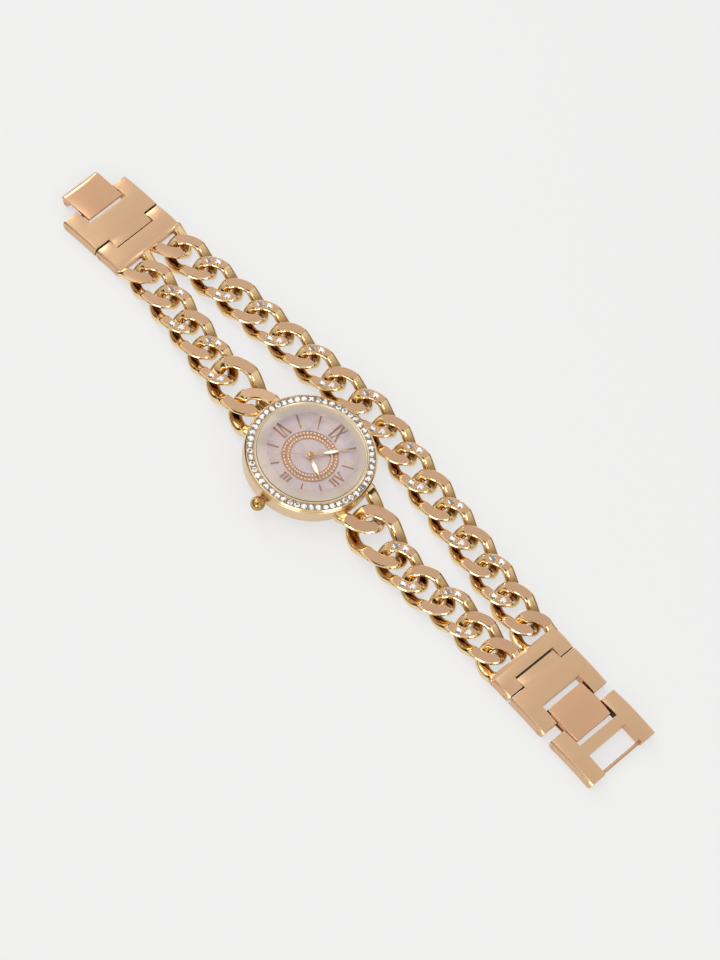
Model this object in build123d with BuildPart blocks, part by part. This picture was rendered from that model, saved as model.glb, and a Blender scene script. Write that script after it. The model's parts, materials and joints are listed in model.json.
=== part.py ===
from build123d import *
import os
from collections import namedtuple
from math import acos, atan2, cos, degrees, hypot, pi, radians, sin, sqrt

# Bracelet watch lying open and flat. The origin is the middle of the case back's flat
# underside, +X runs from 6 to 12 on the dial, +Y points to 9 and +Z up, so the crown is
# on -Y. Lengths are millimetres and angles are degrees.

os.makedirs("parts", exist_ok=True)

# Curb links

# A link is an oval ring of rectangular wire. Going round it, the wire rises to a flat pad
# in two opposite quarters and dips in the other two.
Ring = namedtuple("Ring", "length width thickness wire_width wire_height corner rise")
small_ring = Ring(
    length=14.5,
    width=10.8,
    thickness=3.2,
    wire_width=2.85,
    wire_height=2.1,
    corner=0.9,
    rise=2.9,
)
big_ring = Ring(
    length=17.5,
    width=13.4,
    thickness=3.7,
    wire_width=3.3,
    wire_height=2.3,
    corner=1.0,
    rise=3.6,
)
rise_softness_share = 0.6
ring_sections = 12
small_pitch = 8.1
big_pitch = 9.9
upper_link_count = 15
lower_link_count = 5

# Where the lower chain lies, as the direction of each step away from the case
lower_left_headings = (-12.5, -5.5, -12.0, -10.5, -10.0, -5.0)
lower_right_headings = (-12.5, -8.5, 0.5, 4.0, -3.0, -7.7)
left_plate_angle = 0.5
right_plate_angle = -4.5

# Set stones
stone_radius = 0.62
stone_table_radius = 0.36
stone_foot_radius = 0.22
stone_crown = 0.24
stone_pavilion = 0.5
stone_fit = 0.06
link_stone_spacing = 2.3

# Case
case_radius = 15.5
case_bore_radius = 12.9
case_band_bottom = 2.2
case_band_top = 6.1
case_band_round = 0.25
case_foot_radius = 13.9
back_radius = 13.6
back_thickness = 0.9
back_edge_bevel = 0.3
gasket_width = 0.4
gasket_thickness = 0.35
gasket_fit = 0.05
chain_clearance = 0.3

# Lugs
lug_reach = 14.9
lug_tilt = 9.0
lug_root_length = 1.2

# Bezel and glass
bezel_height = 0.95
bezel_edge_drop = 0.35
bezel_edge_inset = 0.15
stone_row_radius = 14.25
stone_row_width = 1.55
stone_row_depth = 0.12
bezel_stone_count = 54
glass_radius = 12.75
glass_edge_height = 0.9
glass_bevel_width = 1.1
glass_bevel_height = 0.55
glass_dome = 0.4
glass_gasket_width = 0.3

# Movement and dial
movement_radius = 11.0
holder_radius = 12.8
movement_fit = 0.1
back_gap = 0.3
dial_height = 4.1
dial_thickness = 0.4
dial_radius = 12.8
rehaut_foot_radius = 12.3
rehaut_top_radius = 12.6
battery_radius = 3.4
battery_height = 1.65
battery_fit = 0.1
battery_offset = 6.2

# Dial work
marker_height = 0.12
numeral_inner_radius = 7.2
numeral_outer_radius = 11.4
numeral_thick_stroke = 0.42
numeral_thin_stroke = 0.2
numeral_step = 0.85
numeral_lean = 0.62
serif_length = 0.7
bar_inner_radius = 7.4
bar_outer_radius = 11.0
bar_width = 0.32
bead_row_radii = (5.05, 6.05)
bead_radius = 0.17
bead_count = 44
bead_rail_radii = (6.55, 5.55, 4.55)
bead_rail_width = 0.14

# Hands, read as 12:50:23
hour_hand_angle = -25.2
minute_hand_angle = 57.6
second_hand_angle = -136.2
hand_thickness = 0.14
hand_gap = 0.14
hour_hand_length = 6.6
hour_hand_width = 1.25
minute_hand_length = 10.8
minute_hand_width = 1.15
hand_tail = 1.3
second_hand_length = 9.0
second_hand_tail = 3.0
second_hand_width = 0.22
hub_radius = 0.95
second_pin_radius = 0.14
tube_wall = 0.16
tube_clearance = 0.05
hub_cap_height = 0.22
arbor_depth = 1.4

# Crown
stem_height = 3.5
stem_radius = 0.45
stem_fit = 0.05
stem_inner_end = 6.0
crown_tube_radius = 0.85
crown_tube_length = 1.5
crown_tube_stand = 0.1
crown_radius = 1.7
crown_gap = 0.15
crown_flute_count = 16
crown_flute_radius = 0.2
crown_bore_clearance = 0.05
crown_bore_depth = 1.5
crown_length = 3.2
crown_neck_share = 0.55
crown_button_share = 0.35

# Plates
plate_width = 20.8
plate_thickness = 2.6
plate_arch = 0.45
plate_edge_bevel = 0.45
plate_foot_round = 1.1
plate_head_round = 0.15
loop_spacing = 11.0
loop_root_length = 1.0
notch_width = 12.1
tab_clearance = 0.15
hinge_reach = 1.2
hinge_gap = 0.35
pin_radius = 0.45
pin_fit = 0.01
hinge_fit = 0.05
pin_end_recess = 0.05

# Plate lengths, along the bracelet from the middle of the end loops
left_end_pin_reach = 6.6
left_link_pin_reach = 17.7
left_bar_reach = 14.4
right_end_pin_reach = 5.2
right_link_pin_reach = 16.3
right_bar_reach = 12.3
box_start_reach = 13.85
box_end_reach = 23.5
catch_pin_reach = 20.95
catch_bar_start_reach = 24.7
catch_bar_end_reach = 27.4
catch_rod_reach = 32.35
catch_end_reach = 33.1
catch_rod_radius = 0.4
box_width = 11.6

# Clasp
cover_width = 11.2
cover_start_reach = 15.2
cover_pin_reach = 22.9
cover_thickness = 0.75
cover_edge_round = 0.2
leaf_thickness = 0.8
leaf_width = 8.0
clasp_knuckle_radius = 0.95
clasp_pin_radius = 0.35
leaf_clearance = 0.3
cover_lift = 0.15
cover_nose_angle = 30

# Derived heights
plate_pin_height = plate_thickness / 2
bezel_top = case_band_top + bezel_height
dial_top = dial_height + dial_thickness
overcut = 2 * case_radius


def ring_half_axes(ring):
    """Half length and half width of the ring's wire centre line."""
    return (ring.length - ring.wire_width) / 2, (ring.width - ring.wire_width) / 2


def ring_point(ring, turn):
    """Point of the wire's centre line at an angle in radians round the ring."""
    half_length, half_width = ring_half_axes(ring)
    twist, quiet = sin(2 * turn), cos(2 * turn)
    swing = twist / sqrt(twist**2 + (rise_softness_share * quiet) ** 2)
    return (half_length * cos(turn), half_width * sin(turn), -swing * ring.rise / 2)


def ring_plane(ring, turn):
    """Upright plane square to the wire at an angle in radians round the ring."""
    half_length, half_width = ring_half_axes(ring)
    across, along = half_width * cos(turn), half_length * sin(turn)
    size = hypot(across, along)
    return Plane(
        origin=ring_point(ring, turn),
        x_dir=(across / size, along / size, 0),
        z_dir=(-along / size, across / size, 0),
    )


def half_ring(ring, start, root_length=0):
    """Half a ring from an angle in degrees, with straight roots where a root length is given."""
    planes = [
        ring_plane(ring, radians(start) + pi * step / ring_sections)
        for step in range(ring_sections + 1)
    ]
    if root_length:
        planes.insert(0, planes[0].offset(-root_length))
        planes.append(planes[-1].offset(root_length))
    with BuildPart() as half:
        for plane in planes:
            with BuildSketch(plane):
                RectangleRounded(ring.wire_width, ring.wire_height, ring.corner)
        loft()
        Box(3 * ring.length, 3 * ring.length, ring.thickness, mode=Mode.INTERSECT)
    return half.part


def whole_ring(ring):
    """A whole link at the origin, with its pads cut flat."""
    half = half_ring(ring, 0)
    with BuildPart() as link:
        add(half)
        add(half.rotate(Axis.Z, 180))
    return link.part


def stone_turns(ring):
    """The angles round the ring, in radians, of the four stones on its two top pads."""
    pad_sweep = hypot(*ring_half_axes(ring)) / sqrt(2)
    step = link_stone_spacing / 2 / pad_sweep
    middles = (3 * pi / 4, 7 * pi / 4)
    return [middle + side * step for middle in middles for side in (-1, 1)]


def stone_solid():
    """A round cut stone with its girdle at height zero."""
    with BuildPart() as stone:
        with BuildSketch(Plane.XZ):
            with BuildLine():
                Polyline(
                    (0, -stone_pavilion),
                    (stone_foot_radius, -stone_pavilion),
                    (stone_radius, 0),
                    (stone_table_radius, stone_crown),
                    (0, stone_crown),
                    close=True,
                )
            make_face()
        revolve(axis=Axis.Z)
    return stone.part


def write_part(part, name):
    """Label a finished piece and write its STEP file."""
    part.label = name
    export_step(part, f"parts/{name}.step")


# Where the chains lie

def step_on(point, heading, distance):
    """The point a distance away in the direction of a heading in degrees."""
    return (
        point[0] + distance * cos(radians(heading)),
        point[1] + distance * sin(radians(heading)),
    )


def lower_chain(side, headings):
    """Centres and headings of the lower links on one side, and the loop that ends them."""
    mixed_pitch = (small_pitch + big_pitch) / 2
    pitches = [big_pitch, mixed_pitch] + [small_pitch] * (lower_link_count - 1)
    point = (side * lug_reach, 0)
    places = []
    for count, pitch in enumerate(pitches):
        point = step_on(point, headings[count], side * pitch)
        after = headings[min(count + 1, lower_link_count)]
        places.append((point, (headings[count] + after) / 2))
    return places[:-1], places[-1][0]


lower_left_places, left_lower_loop = lower_chain(-1, lower_left_headings)
lower_right_places, right_lower_loop = lower_chain(1, lower_right_headings)
left_upper_loop = step_on(left_lower_loop, left_plate_angle + 90, loop_spacing)
right_upper_loop = step_on(right_lower_loop, right_plate_angle + 90, loop_spacing)

# The upper chain lies like a string from loop to loop, pulled round the case.
wrap_radius = case_radius + chain_clearance + small_ring.width / 2


def string_side(loop):
    """Length of the straight run from a loop to the case, and the loop's polar angle."""
    reach = hypot(*loop)
    return sqrt(reach**2 - wrap_radius**2), atan2(loop[1], loop[0]), acos(wrap_radius / reach)


left_run, left_polar, left_spread = string_side(left_upper_loop)
right_run, right_polar, right_spread = string_side(right_upper_loop)
left_touch = left_polar - left_spread
right_touch = right_polar + right_spread
bend_run = wrap_radius * (left_touch - right_touch)
string_length = left_run + bend_run + right_run
upper_pitch = string_length / (upper_link_count + 1)


def string_place(distance):
    """Point and heading of the upper chain at a distance from its left loop."""
    if distance < left_run:
        heading = degrees(left_touch) - 90
        return step_on(left_upper_loop, heading, distance), heading
    if distance < left_run + bend_run:
        turn = left_touch - (distance - left_run) / wrap_radius
        point = (wrap_radius * cos(turn), wrap_radius * sin(turn))
        return point, degrees(turn) - 90
    heading = degrees(right_touch) - 90
    return step_on(right_upper_loop, heading, distance - string_length), heading


upper_places = [
    string_place(upper_pitch * (count + 1)) for count in range(upper_link_count)
]

link_height = small_ring.thickness / 2
big_link_height = big_ring.thickness / 2

# Links

plain_link = whole_ring(small_ring)
big_link = whole_ring(big_ring)
stone = stone_solid()

stone_seat_points = [ring_point(small_ring, turn)[:2] for turn in stone_turns(small_ring)]
stone_seat_depth = stone_pavilion + stone_crown / 2 + stone_fit
with BuildPart() as set_link:
    add(plain_link)
    with BuildSketch(Plane.XY.offset(link_height)):
        with Locations(*stone_seat_points):
            Circle(stone_radius + stone_fit)
    extrude(amount=-stone_seat_depth, mode=Mode.SUBTRACT)
    for seat_x, seat_y in stone_seat_points:
        girdle = link_height - stone_seat_depth + stone_fit + stone_pavilion
        add(stone.moved(Location((seat_x, seat_y, girdle))))

link_places = []
for count, (point, heading) in enumerate(upper_places, start=1):
    link_places.append((f"upper_link_{count:02d}", count, point, heading))
for side, places in (("left", lower_left_places), ("right", lower_right_places)):
    for count, (point, heading) in enumerate(places, start=1):
        link_places.append((f"lower_{side}_link_{count}", count, point, heading))

# Every second link carries stones, and the lower chains start with a big one.
for name, count, point, heading in link_places:
    shape, height = plain_link, link_height
    if count % 2 == 0:
        shape = set_link.part
    elif count == 1 and name.startswith("lower"):
        shape, height = big_link, big_link_height
    with BuildPart() as link:
        add(shape.rotate(Axis.Z, heading).moved(Location((point[0], point[1], height))))
    write_part(link.part, name)

# Case middle with its lugs

lug_ring = half_ring(big_ring, 90, lug_root_length)
lug_axes = ring_half_axes(big_ring)
lug_tip = Axis((-lug_axes[0], 0, 0), (0, 1, 0))
tilted_lug = lug_ring.rotate(lug_tip, -lug_tilt)
lug_place = Location((-lug_reach, 0, big_link_height))
left_lug = tilted_lug.moved(lug_place)
right_lug = left_lug.rotate(Axis.Z, 180)

gasket_outer = case_bore_radius + gasket_width + 2 * gasket_fit
with BuildPart() as case:
    with BuildSketch(Plane.XZ):
        with BuildLine():
            Polyline(
                (case_bore_radius, back_thickness),
                (case_foot_radius, back_thickness),
                (case_radius - case_band_round, case_band_bottom - case_band_round),
                (case_radius, case_band_bottom + case_band_round),
                (case_radius, case_band_top - case_band_round),
                (case_radius - case_band_round, case_band_top),
                (case_bore_radius, case_band_top),
                close=True,
            )
        make_face()
    revolve(axis=Axis.Z)
    add(left_lug)
    add(right_lug)
    with BuildSketch(Plane.XY.offset(back_thickness)):
        Circle(gasket_outer)
    extrude(amount=gasket_thickness, mode=Mode.SUBTRACT)
    with BuildSketch(Plane.XZ.offset(movement_radius)):
        with Locations((0, stem_height)):
            Circle(crown_tube_radius)
    extrude(amount=case_radius, mode=Mode.SUBTRACT)
    # The tilted lugs are ground level with the case back.
    with BuildSketch():
        Circle(overcut)
    extrude(amount=-big_ring.thickness, mode=Mode.SUBTRACT)
write_part(case.part, "case")

with BuildPart() as case_back:
    with BuildSketch():
        Circle(back_radius)
    extrude(amount=back_thickness)
    chamfer(
        case_back.faces().sort_by(Axis.Z)[0].edges(), length=back_edge_bevel
    )
write_part(case_back.part, "case_back")

with BuildPart() as back_gasket:
    with BuildSketch(Plane.XY.offset(back_thickness)):
        Circle(gasket_outer - gasket_fit)
        Circle(case_bore_radius + gasket_fit, mode=Mode.SUBTRACT)
    extrude(amount=gasket_thickness)
write_part(back_gasket.part, "back_gasket")

# Bezel, stones and glass

bezel_bore = glass_radius + glass_gasket_width + 2 * gasket_fit
row_inner = stone_row_radius - stone_row_width / 2
row_outer = stone_row_radius + stone_row_width / 2
row_floor = bezel_top - stone_row_depth
bezel_seat_depth = stone_pavilion + stone_fit
with BuildPart() as bezel:
    with BuildSketch(Plane.XZ):
        with BuildLine():
            Polyline(
                (bezel_bore, case_band_top),
                (case_radius - bezel_edge_inset, case_band_top),
                (case_radius, case_band_top + bezel_edge_inset),
                (case_radius, bezel_top - bezel_edge_drop),
                (row_outer, bezel_top),
                (row_outer, row_floor),
                (row_inner, row_floor),
                (row_inner, bezel_top),
                (bezel_bore, bezel_top - bezel_edge_inset),
                close=True,
            )
        make_face()
    revolve(axis=Axis.Z)
    with BuildSketch(Plane.XY.offset(row_floor)):
        with PolarLocations(stone_row_radius, bezel_stone_count):
            Circle(stone_radius + stone_fit)
    extrude(amount=-bezel_seat_depth, mode=Mode.SUBTRACT)
write_part(bezel.part, "bezel")

with BuildPart() as bezel_crystals:
    girdle = row_floor - bezel_seat_depth + stone_pavilion
    with PolarLocations(stone_row_radius, bezel_stone_count) as ring_of_stones:
        places = ring_of_stones.locations
    for place in places:
        add(stone.moved(place * Location((0, 0, girdle))))
write_part(bezel_crystals.part, "bezel_crystals")

glass_edge_top = case_band_top + glass_edge_height
glass_bevel_top = glass_edge_top + glass_bevel_height
with BuildPart() as glass:
    with BuildSketch(Plane.XZ):
        with BuildLine():
            crest = (0, glass_bevel_top + glass_dome)
            rim = (glass_radius - glass_bevel_width, glass_bevel_top)
            Polyline(
                rim,
                (glass_radius, glass_edge_top),
                (glass_radius, case_band_top),
                (0, case_band_top),
                crest,
            )
            TangentArc(crest, rim, tangent=(1, 0, 0))
        make_face()
    revolve(axis=Axis.Z)
write_part(glass.part, "glass")

with BuildPart() as glass_gasket:
    with BuildSketch(Plane.XY.offset(case_band_top)):
        Circle(glass_radius + gasket_fit + glass_gasket_width)
        Circle(glass_radius + gasket_fit, mode=Mode.SUBTRACT)
    extrude(amount=bezel_height - bezel_edge_drop)
write_part(glass_gasket.part, "glass_gasket")

with BuildPart() as rehaut:
    with BuildSketch(Plane.XZ):
        with BuildLine():
            Polyline(
                (rehaut_foot_radius, dial_top),
                (holder_radius, dial_top),
                (holder_radius, case_band_top),
                (rehaut_top_radius, case_band_top),
                close=True,
            )
        make_face()
    revolve(axis=Axis.Z)
write_part(rehaut.part, "rehaut")

# Movement, holder, battery and dial

dial_hole_radius = second_pin_radius + 2 * tube_wall + 3 * tube_clearance
movement_bottom = back_thickness + back_gap
with BuildPart() as movement:
    with BuildSketch(Plane.XY.offset(movement_bottom)):
        Circle(movement_radius)
    extrude(amount=dial_height - movement_bottom)
    with BuildSketch(Plane.XY.offset(movement_bottom)):
        with Locations((battery_offset, 0)):
            Circle(battery_radius + battery_fit)
    extrude(amount=battery_height + battery_fit, mode=Mode.SUBTRACT)
    with BuildSketch(Plane.XY.offset(dial_height)):
        Circle(dial_hole_radius)
    extrude(amount=-arbor_depth, mode=Mode.SUBTRACT)
    with BuildSketch(Plane.XZ.offset(stem_inner_end - stem_fit)):
        with Locations((0, stem_height)):
            Circle(stem_radius + stem_fit)
    extrude(amount=movement_radius, mode=Mode.SUBTRACT)
write_part(movement.part, "movement")

with BuildPart() as movement_holder:
    with BuildSketch(Plane.XY.offset(movement_bottom)):
        Circle(holder_radius)
        Circle(movement_radius + movement_fit, mode=Mode.SUBTRACT)
    extrude(amount=dial_height - movement_bottom)
    with BuildSketch(Plane.XZ):
        with Locations((0, stem_height)):
            Circle(crown_tube_radius + stem_fit)
    extrude(amount=case_radius, mode=Mode.SUBTRACT)
write_part(movement_holder.part, "movement_holder")

with BuildPart() as battery:
    with BuildSketch(Plane.XY.offset(movement_bottom)):
        with Locations((battery_offset, 0)):
            Circle(battery_radius)
    extrude(amount=battery_height)
    fillet(battery.edges().filter_by(GeomType.CIRCLE), radius=battery_fit)
write_part(battery.part, "battery")

with BuildPart() as dial:
    with BuildSketch(Plane.XY.offset(dial_height)):
        Circle(dial_radius)
        Circle(dial_hole_radius, mode=Mode.SUBTRACT)
    extrude(amount=dial_thickness)
write_part(dial.part, "dial")

# Dial markers: numerals are strokes, drawn with the hour's outward direction along X

numeral_mid = (numeral_inner_radius + numeral_outer_radius) / 2
numeral_tall = numeral_outer_radius - numeral_inner_radius
thick, thin = numeral_thick_stroke, numeral_thin_stroke
# Each stroke is its place across the numeral in steps, its lean and its width. X crosses
# two full leans at one place, and V spreads two half leans beside its outward point.
numeral_stroke_shares = {
    0: ((1.35, 1, thick), (1.35, -1, thin), (-0.35, 0, thick), (-1.35, 0, thick)),
    3: ((1, 0, thick), (0, 0, thick), (-1, 0, thick)),
    6: ((0.95, 0, thick), (-0.95, 0.5, thick), (-0.2, -0.5, thin)),
    9: ((0.95, 0, thick), (-0.6, 1, thick), (-0.6, -1, thin)),
}
with BuildPart() as dial_markers:
    for hour in range(12):
        hour_angle = radians(-30 * hour)
        hour_plane = Plane(
            origin=(0, 0, dial_top),
            x_dir=(cos(hour_angle), sin(hour_angle), 0),
            z_dir=(0, 0, 1),
        )
        with BuildSketch(hour_plane):
            if hour % 3:
                with Locations(((bar_inner_radius + bar_outer_radius) / 2, 0)):
                    Rectangle(bar_outer_radius - bar_inner_radius, bar_width)
            else:
                for across_share, lean_share, stroke in numeral_stroke_shares[hour]:
                    across = across_share * numeral_step
                    shift = lean_share * numeral_lean
                    lean = degrees(atan2(2 * shift, numeral_tall))
                    with Locations((numeral_mid, across)):
                        Rectangle(numeral_tall, stroke, rotation=lean)
                    with Locations(
                        (numeral_outer_radius, across + shift),
                        (numeral_inner_radius, across - shift),
                    ):
                        Rectangle(numeral_thin_stroke, serif_length)
        extrude(amount=marker_height)
write_part(dial_markers.part, "dial_markers")

with BuildPart() as dial_beads:
    with BuildSketch(Plane.XY.offset(dial_top)):
        for rail in bead_rail_radii:
            Circle(rail + bead_rail_width / 2)
            Circle(rail - bead_rail_width / 2, mode=Mode.SUBTRACT)
    extrude(amount=marker_height)
    with BuildSketch(Plane.XY.offset(dial_top)):
        for row_radius in bead_row_radii:
            with PolarLocations(row_radius, bead_count):
                Circle(bead_radius)
    extrude(amount=bead_radius)
write_part(dial_beads.part, "dial_beads")

# Hands, each with a tube or pin that turns inside the one below it

minute_tube_radius = second_pin_radius + tube_clearance + tube_wall
hour_tube_radius = minute_tube_radius + tube_clearance + tube_wall
hour_level = dial_top + marker_height + hand_gap
minute_level = hour_level + hand_thickness + hand_gap
second_level = minute_level + hand_thickness + hand_gap
arbor_foot = dial_height - arbor_depth + hand_gap
# Points of half a hand's outline, in shares of its length and of its half width
hour_outline_shares = ((0.2, 0.3), (0.48, 1), (0.8, 0.28), (1, 0.14))
minute_outline_shares = ((0.27, 0.3), (0.45, 1), (0.64, 0.3), (1, 0.14))


def pointed_hand(level, angle, length, width, outline_shares, hub, tube, bore):
    """A hand with a lozenge blade, a round hub and a tube below it."""
    turn = radians(angle)
    plane = Plane(origin=(0, 0, level), x_dir=(cos(turn), sin(turn), 0), z_dir=(0, 0, 1))
    side = [(along * length, across * width / 2) for along, across in outline_shares]
    mirrored = [(along, -across) for along, across in reversed(side)]
    root = side[0][1]
    with BuildPart() as hand:
        with BuildSketch(plane):
            with BuildLine():
                Polyline((-hand_tail, root), *side, *mirrored, (-hand_tail, -root), close=True)
            make_face()
            Circle(hub)
        extrude(amount=hand_thickness)
        with BuildSketch(Plane.XY.offset(arbor_foot)):
            Circle(tube)
        extrude(amount=level - arbor_foot)
        with BuildSketch(Plane.XY.offset(arbor_foot)):
            Circle(bore)
        extrude(amount=level + hand_thickness - arbor_foot, mode=Mode.SUBTRACT)
    return hand.part


hour_hand = pointed_hand(
    hour_level,
    hour_hand_angle,
    hour_hand_length,
    hour_hand_width,
    hour_outline_shares,
    hub_radius,
    hour_tube_radius,
    minute_tube_radius + tube_clearance,
)
write_part(hour_hand, "hour_hand")

minute_hand = pointed_hand(
    minute_level,
    minute_hand_angle,
    minute_hand_length,
    minute_hand_width,
    minute_outline_shares,
    hub_radius - tube_wall,
    minute_tube_radius,
    second_pin_radius + tube_clearance,
)
write_part(minute_hand, "minute_hand")

second_turn = radians(second_hand_angle)
second_plane = Plane(
    origin=(0, 0, second_level),
    x_dir=(cos(second_turn), sin(second_turn), 0),
    z_dir=(0, 0, 1),
)
with BuildPart() as second_hand:
    with BuildSketch(second_plane):
        with Locations(((second_hand_length - second_hand_tail) / 2, 0)):
            Rectangle(second_hand_length + second_hand_tail, second_hand_width)
        Circle(hub_radius - 2 * tube_wall)
    extrude(amount=hand_thickness)
    with BuildSketch(Plane.XY.offset(second_level)):
        Circle(second_pin_radius + tube_wall)
    extrude(amount=hub_cap_height)
    with BuildSketch(Plane.XY.offset(arbor_foot)):
        Circle(second_pin_radius)
    extrude(amount=second_level - arbor_foot)
write_part(second_hand.part, "second_hand")

# Crown on its stem, along -Y

with BuildPart() as crown_tube:
    with BuildSketch(Plane.XZ.offset(case_radius + crown_tube_stand)):
        with Locations((0, stem_height)):
            Circle(crown_tube_radius)
            Circle(stem_radius + stem_fit, mode=Mode.SUBTRACT)
    extrude(amount=-crown_tube_length)
write_part(crown_tube.part, "crown_tube")

crown_start = case_radius + crown_gap
with BuildPart() as stem:
    with BuildSketch(Plane.XZ.offset(stem_inner_end)):
        with Locations((0, stem_height)):
            Circle(stem_radius)
    extrude(amount=crown_start + crown_bore_depth - crown_bore_clearance - stem_inner_end)
write_part(stem.part, "stem")

crown_axis = Axis((0, 0, stem_height), (0, -1, 0))
with BuildPart() as crown:
    with BuildSketch(Plane.YZ):
        with BuildLine():
            neck = (-crown_start, stem_height + crown_radius * crown_neck_share)
            belly = (-crown_start - crown_length / 2, stem_height + crown_radius)
            button = (-crown_start - crown_length, stem_height + crown_radius * crown_button_share)
            ThreePointArc(neck, belly, button)
            Polyline(
                button,
                (-crown_start - crown_length, stem_height),
                (-crown_start, stem_height),
                neck,
            )
        make_face()
    revolve(axis=crown_axis)
    with BuildSketch(Plane.XZ.offset(crown_start)):
        with Locations((0, stem_height)):
            with PolarLocations(crown_radius, crown_flute_count):
                Circle(crown_flute_radius)
    extrude(amount=crown_length, mode=Mode.SUBTRACT)
    with BuildSketch(Plane.XZ.offset(crown_start)):
        with Locations((0, stem_height)):
            Circle(stem_radius + crown_bore_clearance)
    extrude(amount=crown_bore_depth, mode=Mode.SUBTRACT)
write_part(crown.part, "crown")

# Plates: reach runs outward from the middle of the end loops, across the plate is level


def plate_planes(lower_loop, upper_loop, angle, side):
    """The top and side planes of a row of plates, with X pointing outward in both."""
    middle = ((lower_loop[0] + upper_loop[0]) / 2, (lower_loop[1] + upper_loop[1]) / 2, 0)
    outward = Vector(side * cos(radians(angle)), side * sin(radians(angle)), 0)
    top = Plane(origin=middle, x_dir=outward, z_dir=(0, 0, 1))
    upright = Plane(origin=middle, x_dir=outward, z_dir=outward.cross(Vector(0, 0, 1)))
    return top, upright


left_top, left_side = plate_planes(left_lower_loop, left_upper_loop, left_plate_angle, -1)
right_top, right_side = plate_planes(right_lower_loop, right_upper_loop, right_plate_angle, 1)


def plate_blank(side, start, end, width):
    """An arched plate with bevelled long edges."""
    middle = (start + end) / 2
    with BuildPart() as blank:
        with BuildSketch(side) as outline:
            with BuildLine():
                ThreePointArc(
                    (start, plate_thickness),
                    (middle, plate_thickness + plate_arch),
                    (end, plate_thickness),
                )
                Line((end, plate_thickness), (end, 0))
                ThreePointArc((end, 0), (middle, plate_arch), (start, 0))
                Line((start, 0), (start, plate_thickness))
            make_face()
            fillet(outline.vertices().group_by(Axis.Y)[0], radius=plate_foot_round)
        extrude(amount=width / 2, both=True)
        long_edges = [
            edge
            for edge in blank.edges().filter_by(GeomType.CIRCLE)
            if edge.length > (end - start) / 2 and edge.center().Z > plate_thickness
        ]
        chamfer(long_edges, length=plate_edge_bevel)
        end_edges = blank.edges().filter_by(GeomType.LINE).group_by(Axis.Z)[-1]
        fillet(end_edges, radius=plate_head_round)
    return blank.part


def level_block(top, start, end, width):
    """A tall block between two reaches, for cutting notches and shoulders."""
    with BuildPart() as block:
        with BuildSketch(top):
            with Locations(((start + end) / 2, 0)):
                Rectangle(end - start, width)
        extrude(amount=2 * plate_thickness, both=True)
    return block.part


def cross_rod(side, reach, radius, length):
    """A round bar across the plates at a reach and at hinge height."""
    with BuildPart() as rod:
        with BuildSketch(side):
            with Locations((reach, plate_pin_height)):
                Circle(radius)
        extrude(amount=length / 2, both=True)
    return rod.part


tab_width = notch_width - 2 * tab_clearance
pin_length = plate_width - 2 * pin_end_recess
seat_radius = pin_radius + pin_fit
bore_radius = pin_radius + hinge_fit


def end_piece(top, side, pin_reach):
    """The plate with two half links that the chains end on."""
    end = pin_reach + hinge_reach
    loop = half_ring(small_ring, 90, loop_root_length)
    with BuildPart() as piece:
        add(plate_blank(side, 0, end, plate_width))
        for across in (-loop_spacing / 2, loop_spacing / 2):
            place = top.location * Location((0, across, link_height))
            add(loop.moved(place))
        notch_start = pin_reach - hinge_reach - hinge_gap
        add(level_block(top, notch_start, end + overcut, notch_width), mode=Mode.SUBTRACT)
        add(cross_rod(side, pin_reach, seat_radius, plate_width), mode=Mode.SUBTRACT)
    return piece.part


def tab_link(top, side, tab_pin_reach, ear_pin_reach, bar_reach):
    """The H-shaped plate with a tab at its inner end and two ears at its outer end."""
    tab_end = tab_pin_reach - hinge_reach
    shoulder = tab_pin_reach + hinge_reach + hinge_gap
    end = ear_pin_reach + hinge_reach
    with BuildPart() as link:
        add(plate_blank(side, tab_end, end, plate_width))
        for across in (-1, 1):
            edge = across * (tab_width + overcut) / 2
            with BuildSketch(top):
                with Locations(((shoulder + tab_end - overcut) / 2, edge)):
                    Rectangle(shoulder - tab_end + overcut, overcut)
            extrude(amount=2 * plate_thickness, both=True, mode=Mode.SUBTRACT)
        add(level_block(top, bar_reach, end + overcut, notch_width), mode=Mode.SUBTRACT)
        add(cross_rod(side, tab_pin_reach, bore_radius, plate_width), mode=Mode.SUBTRACT)
        add(cross_rod(side, ear_pin_reach, seat_radius, plate_width), mode=Mode.SUBTRACT)
    return link.part


write_part(end_piece(left_top, left_side, left_end_pin_reach), "left_end_piece")
write_part(end_piece(right_top, right_side, right_end_pin_reach), "right_end_piece")
write_part(
    tab_link(left_top, left_side, left_end_pin_reach, left_link_pin_reach, left_bar_reach),
    "left_link",
)
write_part(
    tab_link(right_top, right_side, right_end_pin_reach, right_link_pin_reach, right_bar_reach),
    "right_link",
)

plate_pins = (
    ("left_end_pin", left_side, left_end_pin_reach),
    ("left_link_pin", left_side, left_link_pin_reach),
    ("right_end_pin", right_side, right_end_pin_reach),
    ("right_link_pin", right_side, right_link_pin_reach),
    ("box_pin", right_side, catch_pin_reach),
)
for name, side, reach in plate_pins:
    write_part(cross_rod(side, reach, pin_radius, pin_length), name)

with BuildPart() as box_link:
    add(plate_blank(right_side, box_start_reach, box_end_reach, box_width))
    with BuildSketch(right_side):
        with Locations(((right_link_pin_reach + catch_pin_reach) / 2, plate_pin_height)):
            SlotCenterToCenter(catch_pin_reach - right_link_pin_reach, 2 * bore_radius)
    extrude(amount=plate_width / 2, both=True, mode=Mode.SUBTRACT)
write_part(box_link.part, "box_link")

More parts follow.
